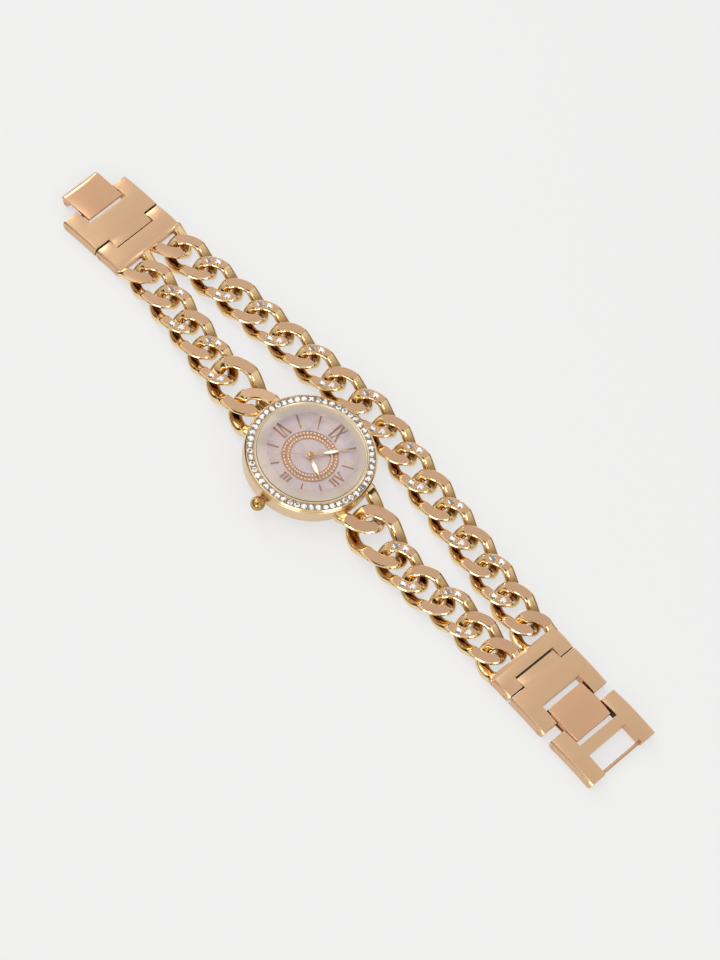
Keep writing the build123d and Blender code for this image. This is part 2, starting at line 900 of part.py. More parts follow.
catch_start = catch_pin_reach - hinge_reach
with BuildPart() as catch_link:
    add(plate_blank(right_side, catch_start, catch_end_reach, plate_width))
    add(
        level_block(right_top, catch_start - overcut, catch_bar_start_reach, notch_width),
        mode=Mode.SUBTRACT,
    )
    add(
        level_block(right_top, catch_bar_end_reach, catch_end_reach + overcut, notch_width),
        mode=Mode.SUBTRACT,
    )
    add(
        cross_rod(right_side, catch_pin_reach, seat_radius, plate_width),
        mode=Mode.SUBTRACT,
    )
    add(
        cross_rod(right_side, catch_rod_reach, catch_rod_radius + pin_fit, pin_length),
        mode=Mode.SUBTRACT,
    )
write_part(catch_link.part, "catch_link")
write_part(
    cross_rod(right_side, catch_rod_reach, catch_rod_radius, pin_length), "catch_rod"
)

# Fold-over clasp: a low leaf with a knuckle at each end, and a cover folded back over it

cheek_width = (cover_width - leaf_width) / 2 - leaf_clearance
leaf_top = plate_pin_height - clasp_knuckle_radius + leaf_thickness
with BuildPart() as clasp_leaf:
    with BuildSketch(left_side):
        with BuildLine():
            Polyline(
                (left_link_pin_reach, leaf_top - leaf_thickness),
                (cover_pin_reach, leaf_top - leaf_thickness),
                (cover_pin_reach, leaf_top),
                (left_link_pin_reach, leaf_top),
                close=True,
            )
        make_face()
        with Locations(
            (left_link_pin_reach, plate_pin_height), (cover_pin_reach, plate_pin_height)
        ):
            Circle(clasp_knuckle_radius)
    extrude(amount=leaf_width / 2, both=True)
    add(
        cross_rod(left_side, left_link_pin_reach, bore_radius, cover_width),
        mode=Mode.SUBTRACT,
    )
    add(
        cross_rod(left_side, cover_pin_reach, clasp_pin_radius + pin_fit, cover_width),
        mode=Mode.SUBTRACT,
    )
write_part(clasp_leaf.part, "clasp_leaf")
write_part(
    cross_rod(left_side, cover_pin_reach, clasp_pin_radius, cover_width - 2 * pin_end_recess),
    "clasp_pin",
)

cover_under = clasp_knuckle_radius + cover_lift
cover_over = cover_under + cover_thickness


def nose_points(radius):
    """Top, middle and end of the arc at a radius round the clasp pin, where the cover bends."""
    turns = (90, (cover_nose_angle + 90) / 2, cover_nose_angle)
    return [
        (
            cover_pin_reach + radius * cos(radians(turn)),
            plate_pin_height + radius * sin(radians(turn)),
        )
        for turn in turns
    ]


with BuildPart() as clasp_cover:
    with BuildSketch(left_side):
        with Locations(((cover_start_reach + cover_pin_reach) / 2, plate_pin_height)):
            with Locations((0, (cover_under + cover_over) / 2)):
                Rectangle(cover_pin_reach - cover_start_reach, cover_thickness)
        with BuildLine():
            outer_top, outer_half, outer_nose = nose_points(cover_over)
            inner_top, inner_half, inner_nose = nose_points(cover_under)
            ThreePointArc(outer_top, outer_half, outer_nose)
            Line(outer_nose, inner_nose)
            ThreePointArc(inner_nose, inner_half, inner_top)
            Line(inner_top, outer_top)
        make_face()
    extrude(amount=cover_width / 2, both=True)
    for across in (-1, 1):
        cheek_start = across * (cover_width - cheek_width) / 2
        with BuildSketch(left_side.offset(cheek_start)):
            with Locations((cover_pin_reach, plate_pin_height)):
                Circle(clasp_knuckle_radius)
                with Locations((0, cover_over / 2 - cover_edge_round / 2)):
                    Rectangle(2 * clasp_knuckle_radius, cover_over - cover_edge_round)
        extrude(amount=cheek_width / 2, both=True)
    add(
        cross_rod(left_side, cover_pin_reach, clasp_pin_radius + hinge_fit, cover_width),
        mode=Mode.SUBTRACT,
    )
write_part(clasp_cover.part, "clasp_cover")
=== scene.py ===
# %% [markdown]
# # A bracelet watch in gold
# A small round watch hangs between two rows of curb links that end in plain hinged plates.
# The solids are already made, each in its real place. This lesson gives them the surfaces
# that catch the light: polished wire, satin pads, set stones, glass and a pearl dial.

# %% Load the solids
import json
import math
from functools import partial

import bmesh
import bpy
from mathutils import Matrix, Quaternion, Vector
from mathutils.bvhtree import BVHTree

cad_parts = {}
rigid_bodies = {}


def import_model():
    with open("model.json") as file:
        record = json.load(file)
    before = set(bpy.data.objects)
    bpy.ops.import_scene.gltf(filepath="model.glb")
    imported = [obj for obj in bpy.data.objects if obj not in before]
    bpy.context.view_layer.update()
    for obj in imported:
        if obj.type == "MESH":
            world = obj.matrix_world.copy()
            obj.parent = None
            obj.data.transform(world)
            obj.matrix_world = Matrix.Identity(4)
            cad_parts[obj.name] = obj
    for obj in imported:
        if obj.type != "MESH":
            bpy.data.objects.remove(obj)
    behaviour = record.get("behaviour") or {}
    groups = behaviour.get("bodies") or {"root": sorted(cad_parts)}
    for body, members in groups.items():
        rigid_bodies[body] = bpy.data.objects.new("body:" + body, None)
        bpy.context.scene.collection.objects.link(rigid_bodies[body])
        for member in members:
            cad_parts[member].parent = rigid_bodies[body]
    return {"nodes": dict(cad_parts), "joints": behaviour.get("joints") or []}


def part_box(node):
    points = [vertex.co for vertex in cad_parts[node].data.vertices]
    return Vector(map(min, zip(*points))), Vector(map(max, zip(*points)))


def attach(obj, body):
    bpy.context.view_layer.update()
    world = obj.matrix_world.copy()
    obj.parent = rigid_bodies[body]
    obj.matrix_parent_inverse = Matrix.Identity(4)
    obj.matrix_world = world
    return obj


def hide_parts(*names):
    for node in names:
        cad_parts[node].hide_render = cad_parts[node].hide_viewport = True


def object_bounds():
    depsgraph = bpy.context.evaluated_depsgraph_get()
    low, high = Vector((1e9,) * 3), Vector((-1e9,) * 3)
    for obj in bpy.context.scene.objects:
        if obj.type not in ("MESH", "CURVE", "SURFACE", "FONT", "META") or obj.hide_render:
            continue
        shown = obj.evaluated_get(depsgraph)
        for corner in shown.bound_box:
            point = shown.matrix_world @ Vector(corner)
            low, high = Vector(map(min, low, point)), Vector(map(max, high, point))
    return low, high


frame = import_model()
cad_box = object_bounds()
MM = 0.001
print("solids loaded:", len(frame["nodes"]))

# %% [markdown]
# ## Camera
# The watch is seen from above its crown side, turned so that it runs across the picture.
# A long lens far away keeps the two ends nearly the same size. The camera aims at a point
# near the watch, stands back from it on a line given by two angles, and is rolled a little.

# %% Camera
AIM = Vector((10.7, 6.98, 0)) * MM
AZIMUTH, ELEVATION, ROLL = math.radians(25), math.radians(59.25), math.radians(20.5)
DISTANCE = 599.64 * MM
LENS, SENSOR_WIDTH = 96.94, 36

back = Vector(
    (
        math.sin(AZIMUTH) * math.cos(ELEVATION),
        -math.cos(AZIMUTH) * math.cos(ELEVATION),
        math.sin(ELEVATION),
    )
)
camera = bpy.data.objects.new("camera", bpy.data.cameras.new("camera"))
camera.data.lens = LENS
camera.data.sensor_width = SENSOR_WIDTH
camera.data.clip_start = 10 * MM
camera.location = AIM + back * DISTANCE
camera.rotation_mode = "QUATERNION"
upright = (-back).to_track_quat("-Z", "Y")
camera.rotation_quaternion = upright @ Quaternion((0, 0, 1), ROLL)
bpy.context.scene.collection.objects.link(camera)
bpy.context.scene.camera = camera
bpy.context.scene.view_settings.view_transform = "Standard"
print("camera stands at", [round(c, 3) for c in camera.location])

# %% [markdown]
# ## Node helpers
# Materials and shape trees are both built from nodes. A few short helpers add a node, set
# its options and either fill or link its inputs, so that each tree reads like a recipe.


# %% Node helpers
def add_node(tree, kind, inputs=None, **options):
    """Add a node, set its options, and fill its inputs with values or other sockets."""
    made = tree.nodes.new(kind)
    for option, value in options.items():
        setattr(made, option, value)
    for key, value in (inputs or {}).items():
        if isinstance(value, bpy.types.NodeSocket):
            tree.links.new(value, made.inputs[key])
        else:
            made.inputs[key].default_value = value
    return made


def output_of(tree, kind, inputs=None, output=0, **options):
    """Add a node and give back one of its outputs, by number or by name."""
    return add_node(tree, kind, inputs, **options).outputs[output]


def calc(tree, operation, *values):
    """One step of arithmetic, giving back its result."""
    return output_of(tree, "ShaderNodeMath", dict(enumerate(values)), operation=operation)


def between(tree, value, low, high, ends=(0.0, 1.0), curve="LINEAR"):
    """Where a value stands between two limits, told as a number between two ends."""
    inputs = {"Value": value, "From Min": low, "From Max": high, "To Min": ends[0], "To Max": ends[1]}
    return output_of(tree, "ShaderNodeMapRange", inputs, interpolation_type=curve)


def ramp(tree, value, stops, interpolation="LINEAR"):
    """Turn a value into a colour, by stops of (place, (red, green, blue))."""
    made = add_node(tree, "ShaderNodeValToRGB", {"Fac": value})
    elements = made.color_ramp.elements
    while len(elements) < len(stops):
        elements.new(0.5)
    for element, (spot, tone) in zip(elements, stops):
        element.position = spot
        element.color = (*tone, 1)
    made.color_ramp.interpolation = interpolation
    return made.outputs["Color"]


def new_group(name, kind, inputs, outputs):
    """A node group, whose inputs are each given by a default value or by a kind of socket."""
    tree = bpy.data.node_groups.new(name, kind)
    kinds = {float: "Float", int: "Int", bool: "Bool", tuple: "Color"}
    for direction, sockets in (("INPUT", inputs), ("OUTPUT", outputs)):
        for socket_name, value in sockets.items():
            socket_kind = kinds.get(type(value), value)
            socket = tree.interface.new_socket(
                name=socket_name, in_out=direction, socket_type="NodeSocket" + socket_kind
            )
            if not isinstance(value, str):
                socket.default_value = value
    return tree


# %% [markdown]
# ## Floor and light
# Jewellery is photographed on a pale sheet under large soft lamps. Gold shows what stands
# round it, so the room matters as much as the lamps: pale above, dark low down and dark
# where the photographer stands, which gives the polished wire its brown streaks. The floor
# looks paper-white, also in the metal and the glass, but still takes a faint shadow.

# %% Floor
FLOOR_TONE, FLOOR_SIZE = 0.86, 4
# How much of the paper's own glow is seen directly or through glass, and in a reflection.
GLOW_SEEN, GLOW_MIRRORED = 0.72, 0.5
bpy.ops.mesh.primitive_plane_add(size=FLOOR_SIZE)
floor = bpy.context.object
floor.name = "floor"
floor.location.z = cad_box[0].z

pale = (FLOOR_TONE, FLOOR_TONE, FLOOR_TONE, 1)
paper = bpy.data.materials.new("paper")
paper.use_nodes = True
tree = paper.node_tree
tree.nodes.clear()
rays = add_node(tree, "ShaderNodeLightPath").outputs
seen = calc(tree, "MAXIMUM", rays["Is Camera Ray"], rays["Is Transmission Ray"])
seen = calc(tree, "MULTIPLY", seen, GLOW_SEEN)
mirrored = calc(tree, "MULTIPLY", rays["Is Glossy Ray"], GLOW_MIRRORED)
seen = calc(tree, "MAXIMUM", seen, mirrored)
diffuse = output_of(tree, "ShaderNodeBsdfDiffuse", {"Color": pale})
glow = output_of(tree, "ShaderNodeEmission", {"Color": pale})
mixed = output_of(tree, "ShaderNodeMixShader", {0: seen, 1: diffuse, 2: glow})
add_node(tree, "ShaderNodeOutputMaterial", {"Surface": mixed})
floor.data.materials.append(paper)
print("floor laid at height", round(floor.location.z, 5))

# %% Room and lamps
# Tones of the room from level with the watch (0) to straight above it (1).
ROOM_TONES = ((0.0, 0.03), (0.2, 0.06), (0.36, 0.84), (0.62, 1.0), (1.0, 0.85))
SKY_STRENGTH = 0.85
# The dark patch round the photographer, by the cosine of the angle from their side.
PATCH_EDGE, PATCH_CORE, PATCH_TONE = 0.93, 0.975, 0.1
LAMPS = (
    # name, place in metres, width, watts
    ("overhead_box", (-0.35, -0.1, 0.8), 0.5, 1.8),
    ("left_box", (-0.75, 0.3, 0.45), 0.35, 1.3),
    ("front_box", (0.35, -0.8, 0.35), 0.4, 1.8),
    ("right_box", (0.85, -0.15, 0.35), 0.35, 1.3),
)
world = bpy.data.worlds.new("studio")
bpy.context.scene.world = world
world.use_nodes = True
tree = world.node_tree
tree.nodes.clear()
direction = output_of(tree, "ShaderNodeTexCoord", output="Generated")
height = output_of(tree, "ShaderNodeSeparateXYZ", {0: direction}, "Z")
warm_tones = [(spot, (tone, tone * 0.99, tone * 0.97)) for spot, tone in ROOM_TONES]
room = ramp(tree, height, warm_tones)
towards = output_of(
    tree, "ShaderNodeVectorMath", {0: direction, 1: tuple(back)}, "Value", operation="DOT_PRODUCT"
)
standing = between(tree, towards, PATCH_EDGE, PATCH_CORE, (1.0, PATCH_TONE), "SMOOTHSTEP")
strength = calc(tree, "MULTIPLY", standing, SKY_STRENGTH)
sky = output_of(tree, "ShaderNodeBackground", {"Color": room, "Strength": strength})
# Seen directly, past the edge of the floor, the room is as pale as the paper.
backdrop = output_of(tree, "ShaderNodeBackground", {"Color": pale})
seen = output_of(tree, "ShaderNodeLightPath", output="Is Camera Ray")
shown = output_of(tree, "ShaderNodeMixShader", {0: seen, 1: sky, 2: backdrop})
add_node(tree, "ShaderNodeOutputWorld", {"Surface": shown})

for name, place, width, watts in LAMPS:
    lamp = bpy.data.objects.new(name, bpy.data.lights.new(name, "AREA"))
    lamp.data.size = width
    lamp.data.energy = watts
    lamp.location = place
    lamp.rotation_mode = "QUATERNION"
    lamp.rotation_quaternion = (AIM - Vector(place)).to_track_quat("-Z", "Y")
    bpy.context.scene.collection.objects.link(lamp)
print("lamps hung:", len(LAMPS))

# %% [markdown]
# ## Finishes
# Plated gold is never one flat tone: handling leaves faint clouds in the polish and fine
# scratches in the satin. One group makes that variation, and each finish mixes it in by
# its own amount.


# %% Material helpers
def plain(name, color, roughness, **sockets):
    """A simple finish, with any other sockets of the shader given by name."""
    finish = bpy.data.materials.new(name)
    finish.use_nodes = True
    shader = finish.node_tree.nodes["Principled BSDF"]
    shader.inputs["Base Color"].default_value = (*color, 1)
    shader.inputs["Roughness"].default_value = roughness
    for socket, value in sockets.items():
        shader.inputs[socket.replace("_", " ")].default_value = value
    return finish


def feed(finish, socket, source):
    """Let a socket of a finish's shader take its value from another node."""
    tree = finish.node_tree
    tree.links.new(source, tree.nodes["Principled BSDF"].inputs[socket])


def noise(tree, scale, detail, distortion=0.0):
    """Soft clouds that stay in place on a piece, from 0 to 1."""
    place = output_of(tree, "ShaderNodeTexCoord", output="Object")
    inputs = {"Vector": place, "Scale": scale, "Detail": detail, "Distortion": distortion}
    return output_of(tree, "ShaderNodeTexNoise", inputs)


def mix_tones(tree, share, first, second):
    """Blend two colours by a share."""
    inputs = {0: share, 6: first, 7: second}
    return output_of(tree, "ShaderNodeMix", inputs, 2, data_type="RGBA")


# %% Handling marks
handling = new_group(
    "Handling marks",
    "ShaderNodeTree",
    {
        "Cloud Size": 300.0,
        "Scratch Size": 2500.0,
        "Clean": 0.1,
        "Worn": 0.2,
        "Bright": (0.8, 0.5, 0.3, 1),
        "Dull": (0.7, 0.4, 0.25, 1),
    },
    {"Color": "Color", "Roughness": "Float", "Height": "Float"},
)
given = add_node(handling, "NodeGroupInput").outputs
clouds = noise(handling, given["Cloud Size"], detail=3)
scratches = noise(handling, given["Scratch Size"], detail=2)
tone = mix_tones(handling, clouds, given["Bright"], given["Dull"])
rough = output_of(handling, "ShaderNodeMix", {0: clouds, 2: given["Clean"], 3: given["Worn"]})
add_node(handling, "NodeGroupOutput", {"Color": tone, "Roughness": rough, "Height": scratches})
print("group made:", handling.name)

# %% Metal finishes
GRAIN_DEPTH = 0.02 * MM


def metal(name, bright, dull, clean, worn, cloud_size=300.0, grain=0.0):
    """A metal whose tone and polish vary with handling."""
    finish = plain(name, bright, clean, Metallic=1)
    wear = {
        "Cloud Size": cloud_size,
        "Clean": clean,
        "Worn": worn,
        "Bright": (*bright, 1),
        "Dull": (*dull, 1),
    }
    marks = add_node(finish.node_tree, "ShaderNodeGroup", wear, node_tree=handling).outputs
    feed(finish, "Base Color", marks["Color"])
    feed(finish, "Roughness", marks["Roughness"])
    if grain:
        relief = {"Height": marks["Height"], "Strength": grain, "Distance": GRAIN_DEPTH}
        feed(finish, "Normal", output_of(finish.node_tree, "ShaderNodeBump", relief))
    return finish


polished_gold = metal("polished_gold", (0.92, 0.67, 0.37), (0.84, 0.58, 0.29), 0.06, 0.12)
crown_gold = metal("crown_gold", (0.66, 0.42, 0.17), (0.42, 0.24, 0.08), 0.08, 0.2, 900.0)
hand_gold = metal("hand_gold", (0.80, 0.54, 0.28), (0.74, 0.48, 0.24), 0.12, 0.2)
satin_gold = metal("satin_gold", (0.72, 0.46, 0.29), (0.64, 0.39, 0.235), 0.25, 0.34, grain=0.15)
plate_gold = metal("plate_gold", (0.79, 0.52, 0.315), (0.75, 0.475, 0.28), 0.22, 0.3, grain=0.1)
band_gold = metal("band_gold", (0.84, 0.66, 0.43), (0.80, 0.60, 0.38), 0.2, 0.28, grain=0.08)
cover_gold = metal("cover_gold", (0.80, 0.49, 0.30), (0.76, 0.44, 0.25), 0.18, 0.26, grain=0.08)
rose_gold = metal("rose_gold", (0.52, 0.27, 0.14), (0.36, 0.18, 0.09), 0.16, 0.26)
rail_gold = metal("rail_gold", (0.64, 0.40, 0.26), (0.50, 0.29, 0.18), 0.16, 0.26)
bead_gold = metal("bead_gold", (0.88, 0.70, 0.54), (0.80, 0.61, 0.46), 0.12, 0.22)
flange_gold = metal("flange_gold", (0.90, 0.78, 0.60), (0.86, 0.72, 0.53), 0.25, 0.35)
# Dark brown for the floor of the stone channel: painted shade in the gaps between stones.
channel_painted_shade = metal("channel_painted_shade", (0.30, 0.21, 0.13), (0.14, 0.09, 0.05), 0.3, 0.5, 2500.0)
pin_gold = metal("pin_gold", (0.7, 0.47, 0.28), (0.6, 0.38, 0.22), 0.2, 0.35)
satin_steel = metal("satin_steel", (0.6, 0.6, 0.6), (0.5, 0.5, 0.5), 0.25, 0.4, grain=0.2)

# The foot of each curb link's inner wall is painted darker and browner, as painted shade in
# the crease there. The link says how far inside each point lies.
WIRE_FOOT, WIRE_SHOULDER = 0.7 * MM, 3.4 * MM
PAINTED_SHADE_TONE = (0.26, 0.12, 0.03, 1)
wire_gold_shaded = metal("wire_gold_shaded", (0.97, 0.74, 0.42), (0.92, 0.66, 0.34), 0.06, 0.12)
tree = wire_gold_shaded.node_tree
polished_tone = tree.nodes["Principled BSDF"].inputs["Base Color"].links[0].from_socket
place = output_of(tree, "ShaderNodeTexCoord", output="Object")
level = output_of(tree, "ShaderNodeSeparateXYZ", {0: place}, "Z")
unshaded = between(tree, level, WIRE_FOOT, WIRE_SHOULDER, curve="SMOOTHSTEP")
inside = output_of(tree, "ShaderNodeAttribute", output="Fac", attribute_name="inside")
unshaded = calc(tree, "MAXIMUM", unshaded, calc(tree, "SUBTRACT", 1.0, inside))
feed(wire_gold_shaded, "Base Color", mix_tones(tree, unshaded, PAINTED_SHADE_TONE, polished_tone))
print("metals made")

# %% Stones, glass, dial and small finishes
# A cut stone shows each facet either bright or dark, so every facet carries a number of
# its own, and the finish turns that number into a tone: painted glints and painted shade.
FACET_GLINT_TONES = ((0.0, 0.22), (0.17, 0.48), (0.32, 0.82), (0.47, 1.0))
stone_white = plain("stone_white", (0.93, 0.94, 0.96), 0.05, Coat_Weight=1.0)
tree = stone_white.node_tree
facet = output_of(tree, "ShaderNodeAttribute", output="Fac", attribute_name="facet")
cool_tones = [(spot, (tone * 0.98, tone * 0.98, tone)) for spot, tone in FACET_GLINT_TONES]
feed(stone_white, "Base Color", ramp(tree, facet, cool_tones, "CONSTANT"))

lume = plain("lume", (0.9, 0.9, 0.86), 0.6)
# Painted shade for walls deep inside narrow seams.
dark_gap = plain("dark_gap", (0.05, 0.035, 0.025), 0.6)
gasket_black = plain("gasket_black", (0.03, 0.03, 0.03), 0.7)
holder_white = plain("holder_white", (0.75, 0.74, 0.7), 0.5)


def clear_glass(name, color, roughness, transmission):
    """Glass that lets lamps shine straight through it on to the dial."""
    finish = plain(name, color, roughness, Transmission_Weight=transmission, IOR=1.45)
    tree = finish.node_tree
    shadow = output_of(tree, "ShaderNodeLightPath", output="Is Shadow Ray")
    body = tree.nodes["Principled BSDF"].outputs[0]
    clear = output_of(tree, "ShaderNodeBsdfTransparent")
    through = output_of(tree, "ShaderNodeMixShader", {0: shadow, 1: body, 2: clear})
    tree.links.new(through, tree.nodes["Material Output"].inputs["Surface"])
    return finish


crystal = clear_glass("crystal", (1, 1, 1), 0.02, 1)

# The bevel carries a painted reflection of the light, as pink as the dial at its inner edge
# and creamy at the rim, in soft clouds.
REFLECTION_INNER, REFLECTION_RIM = 10.2 * MM, 12.6 * MM
REFLECTION_TONES = ((0.15, (0.58, 0.49, 0.49)), (0.85, (0.76, 0.67, 0.52)))
REFLECTION_CLOUD_SHARE, REFLECTION_SHARE = 0.9, 0.6
bevel_glass = clear_glass("bevel_glass", (0.66, 0.56, 0.50), 0.14, 0.5)
tree = bevel_glass.node_tree
reflection_clouds = noise(tree, scale=260.0, detail=4, distortion=1.0)
reflection_clouds = calc(tree, "MULTIPLY", reflection_clouds, REFLECTION_CLOUD_SHARE)
place = output_of(tree, "ShaderNodeTexCoord", output="Object")
flat = output_of(tree, "ShaderNodeVectorMath", {0: place, 1: (1, 1, 0)}, operation="MULTIPLY")
reach = output_of(tree, "ShaderNodeVectorMath", {0: flat}, "Value", operation="LENGTH")
towards_rim = between(tree, reach, REFLECTION_INNER, REFLECTION_RIM)
painted_reflection = calc(tree, "MULTIPLY", calc(tree, "ADD", reflection_clouds, towards_rim), REFLECTION_SHARE)
feed(bevel_glass, "Base Color", ramp(tree, painted_reflection, REFLECTION_TONES))

PEARL_TONES = (
    # share of the noise, colour
    (0.30, (0.42, 0.33, 0.36)),
    (0.45, (0.54, 0.43, 0.42)),
    (0.58, (0.46, 0.38, 0.43)),
    (0.72, (0.60, 0.50, 0.46)),
)
pearl = plain("pearl", PEARL_TONES[0][1], 0.35, Metallic=0.25, Coat_Weight=0.4)
tree = pearl.node_tree
shell = noise(tree, scale=160.0, detail=4, distortion=1.2)
feed(pearl, "Base Color", ramp(tree, shell, PEARL_TONES))
print("stone, glass, dial and small finishes made")


# %% Give the solids that stay their finish
def paint(finish, *nodes):
    """Put a finish on CAD solids that keep their shape."""
    for name in nodes:
        slots = frame["nodes"][name].data.materials
        slots.clear()
        slots.append(finish)


pins = [name for name in frame["nodes"] if name.endswith("_pin")]
paint(pearl, "dial")
paint(satin_steel, "case_back", "crown_tube", "stem", "movement", "battery")
paint(gasket_black, "back_gasket")
paint(holder_white, "movement_holder")
paint(pin_gold, "catch_rod", *pins)
print("pins painted:", len(pins))

# %% [markdown]
# ## Curb links
# A curb link is an oval ring whose wire rises to a flat, ground pad in two opposite
# quarters and dips in the other two, so that a row of them lies flat. Its shape follows a
# rule, so Geometry Nodes make it: an oval path, a rounded bar swept along it, a lift that
# depends on the angle round the ring, and a slab that grinds the pads. The same tree makes
# the half rings of the lugs.


# %% Shape tree helpers
def store(tree, geometry, name, value, data_type="FLOAT", domain="POINT"):
    """Keep a value on each point or face of a shape, under a name."""
    return output_of(
        tree,
        "GeometryNodeStoreNamedAttribute",
        {"Geometry": geometry, "Name": name, "Value": value},
        data_type=data_type,
        domain=domain,
    )


def finished(tree, geometry, material):
    """Give a shape its finish inside a tree."""
    return output_of(tree, "GeometryNodeSetMaterial", {"Geometry": geometry, "Material": material})


# %% The link tree
SMALL = {
    "Length": 14.5 * MM,
    "Width": 10.8 * MM,
    "Thickness": 3.2 * MM,
    "Wire_Width": 2.85 * MM,
    "Wire_Height": 2.1 * MM,
    "Corner": 0.9 * MM,
    "Rise": 2.9 * MM,
}
BIG = {
    "Length": 17.5 * MM,
    "Width": 13.4 * MM,
    "Thickness": 3.7 * MM,
    "Wire_Width": 3.3 * MM,
    "Wire_Height": 2.3 * MM,
    "Corner": 1.0 * MM,
    "Rise": 3.6 * MM,
}
LINK_STEPS, BAR_STEPS, CORNER_STEPS = 176, 44, 6
ROOT_SHARE = 0.12
SHOULDER_LIMIT = 1.6
INNER_REACH = 0.8 * MM
link_tree = new_group(
    "Curb link",
    "GeometryNodeTree",
    {
        "Geometry": "Geometry",
        **{name.replace("_", " "): size for name, size in SMALL.items()},
        "Softness": 0.6,
        "Shoulder": 0.5 * MM,
        "Pad Narrowing": 0.25,
        "Start": 0.0,
        "Sweep": math.tau,
        "Closed": True,
        "Root": 0.0,
        "Centre": "Vector",
        "Turn": "Rotation",
        "Wire": "Material",
        "Pad": "Material",
    },
    {"Geometry": "Geometry"},
)
given = add_node(link_tree, "NodeGroupInput").outputs
link_node = partial(output_of, link_tree)
link_calc = partial(calc, link_tree)
link_vector = partial(output_of, link_tree, "ShaderNodeVectorMath")
times = partial(calc, link_tree, "MULTIPLY")
path = link_node("GeometryNodeCurvePrimitiveLine")
path = link_node("GeometryNodeResampleCurve", {"Curve": path, "Count": LINK_STEPS})
path = link_node("GeometryNodeSetSplineCyclic", {"Geometry": path, "Cyclic": given["Closed"]})

# A closed ring spreads its steps round the whole turn; an open one ends on its last step
# and runs on straight past both ends for the length of its roots.
steps = link_node(
    "GeometryNodeSwitch",
    {"Switch": given["Closed"], "False": LINK_STEPS - 1.0, "True": float(LINK_STEPS)},
    input_type="FLOAT",
)
share = link_calc("DIVIDE", link_node("GeometryNodeInputIndex"), steps)
has_root = link_calc("GREATER_THAN", given["Root"], 0.0)
margin = times(has_root, ROOT_SHARE)
stretch = link_calc("MULTIPLY_ADD", margin, 2.0, 1.0)
along = link_calc("SUBTRACT", times(share, stretch), margin)
round_share = link_node("ShaderNodeClamp", {"Value": along})
past_end = link_calc("ABSOLUTE", link_calc("SUBTRACT", along, round_share))
root_step = times(link_calc("DIVIDE", past_end, ROOT_SHARE), given["Root"])
turn = link_calc("MULTIPLY_ADD", round_share, given["Sweep"], given["Start"])


def half_of(size):
    """Half of a size less the wire, which is where the wire's middle runs."""
    clear = link_calc("SUBTRACT", given[size], given["Wire Width"])
    return times(clear, 0.5)


across = times(link_calc("COSINE", turn), half_of("Length"))
across = link_calc("ADD", across, root_step)
aside = times(link_calc("SINE", turn), half_of("Width"))
oval = link_node("ShaderNodeCombineXYZ", {0: across, 1: aside})
path = link_node("GeometryNodeSetPosition", {"Geometry": path, "Position": oval})
path = store(link_tree, path, "middle", oval, "FLOAT_VECTOR")

# The lift is kept on the path's points, so that it can be added after the sweep and the
# bar's sections stay upright.
double_turn = times(turn, 2.0)
twist = link_calc("SINE", double_turn)
quiet = times(link_calc("COSINE", double_turn), given["Softness"])
squares = link_calc("ADD", times(twist, twist), times(quiet, quiet))
swing = link_calc("DIVIDE", twist, link_calc("SQRT", squares))
lift = times(swing, times(given["Rise"], -0.5))
path = store(link_tree, path, "lift", lift)
path = link_node("GeometryNodeSetCurveNormal", {"Curve": path}, mode="Z_UP")
bar = link_node(
    "GeometryNodeCurvePrimitiveQuadrilateral",
    {"Width": given["Wire Width"], "Height": given["Wire Height"]},
)
bar = link_node(
    "GeometryNodeFilletCurve",
    {"Curve": bar, "Radius": given["Corner"], "Count": CORNER_STEPS},
    mode="POLY",
)
bar = link_node("GeometryNodeResampleCurve", {"Curve": bar, "Count": BAR_STEPS})
wire = link_node(
    "GeometryNodeCurveToMesh", {"Curve": path, "Profile Curve": bar, "Fill Caps": True}
)
stored = link_node("GeometryNodeInputNamedAttribute", {"Name": "lift"}, data_type="FLOAT")
raised = link_node("ShaderNodeCombineXYZ", {2: stored})
wire = link_node("GeometryNodeSetPosition", {"Geometry": wire, "Offset": raised})

# The wire draws in towards its middle line as it nears the grinding planes, which leaves
# a narrower pad between rounded shoulders.
spot = link_node("GeometryNodeInputPosition")
level = link_calc("ABSOLUTE", link_node("ShaderNodeSeparateXYZ", {0: spot}, "Z"))
plane = times(given["Thickness"], 0.5)
shoulder_foot = link_calc("SUBTRACT", plane, given["Shoulder"])
into = link_calc("DIVIDE", link_calc("SUBTRACT", level, shoulder_foot), given["Shoulder"])
into = link_node("ShaderNodeClamp", {"Value": into, "Max": SHOULDER_LIMIT})
drawn = times(times(into, into), given["Pad Narrowing"])
middle_line = link_node(
    "GeometryNodeInputNamedAttribute", {"Name": "middle"}, data_type="FLOAT_VECTOR"
)
inward = link_vector({0: middle_line, 1: spot}, operation="SUBTRACT")
inward = link_vector({0: inward, 1: (1, 1, 0)}, operation="MULTIPLY")
draw_in = link_vector({0: inward, "Scale": drawn}, operation="SCALE")
wire = link_node("GeometryNodeSetPosition", {"Geometry": wire, "Offset": draw_in})

# Each point of the wire keeps how far it lies on the inner side, from 0 to 1, which the
# wire finish turns into painted shade at the foot of the inner wall.
outward = link_vector({0: middle_line}, operation="NORMALIZE")
inner_reach = link_vector({0: inward, 1: outward}, "Value", operation="DOT_PRODUCT")
wire = store(link_tree, wire, "inside", between(link_tree, inner_reach, 0.0, INNER_REACH))
wire = finished(link_tree, wire, given["Wire"])

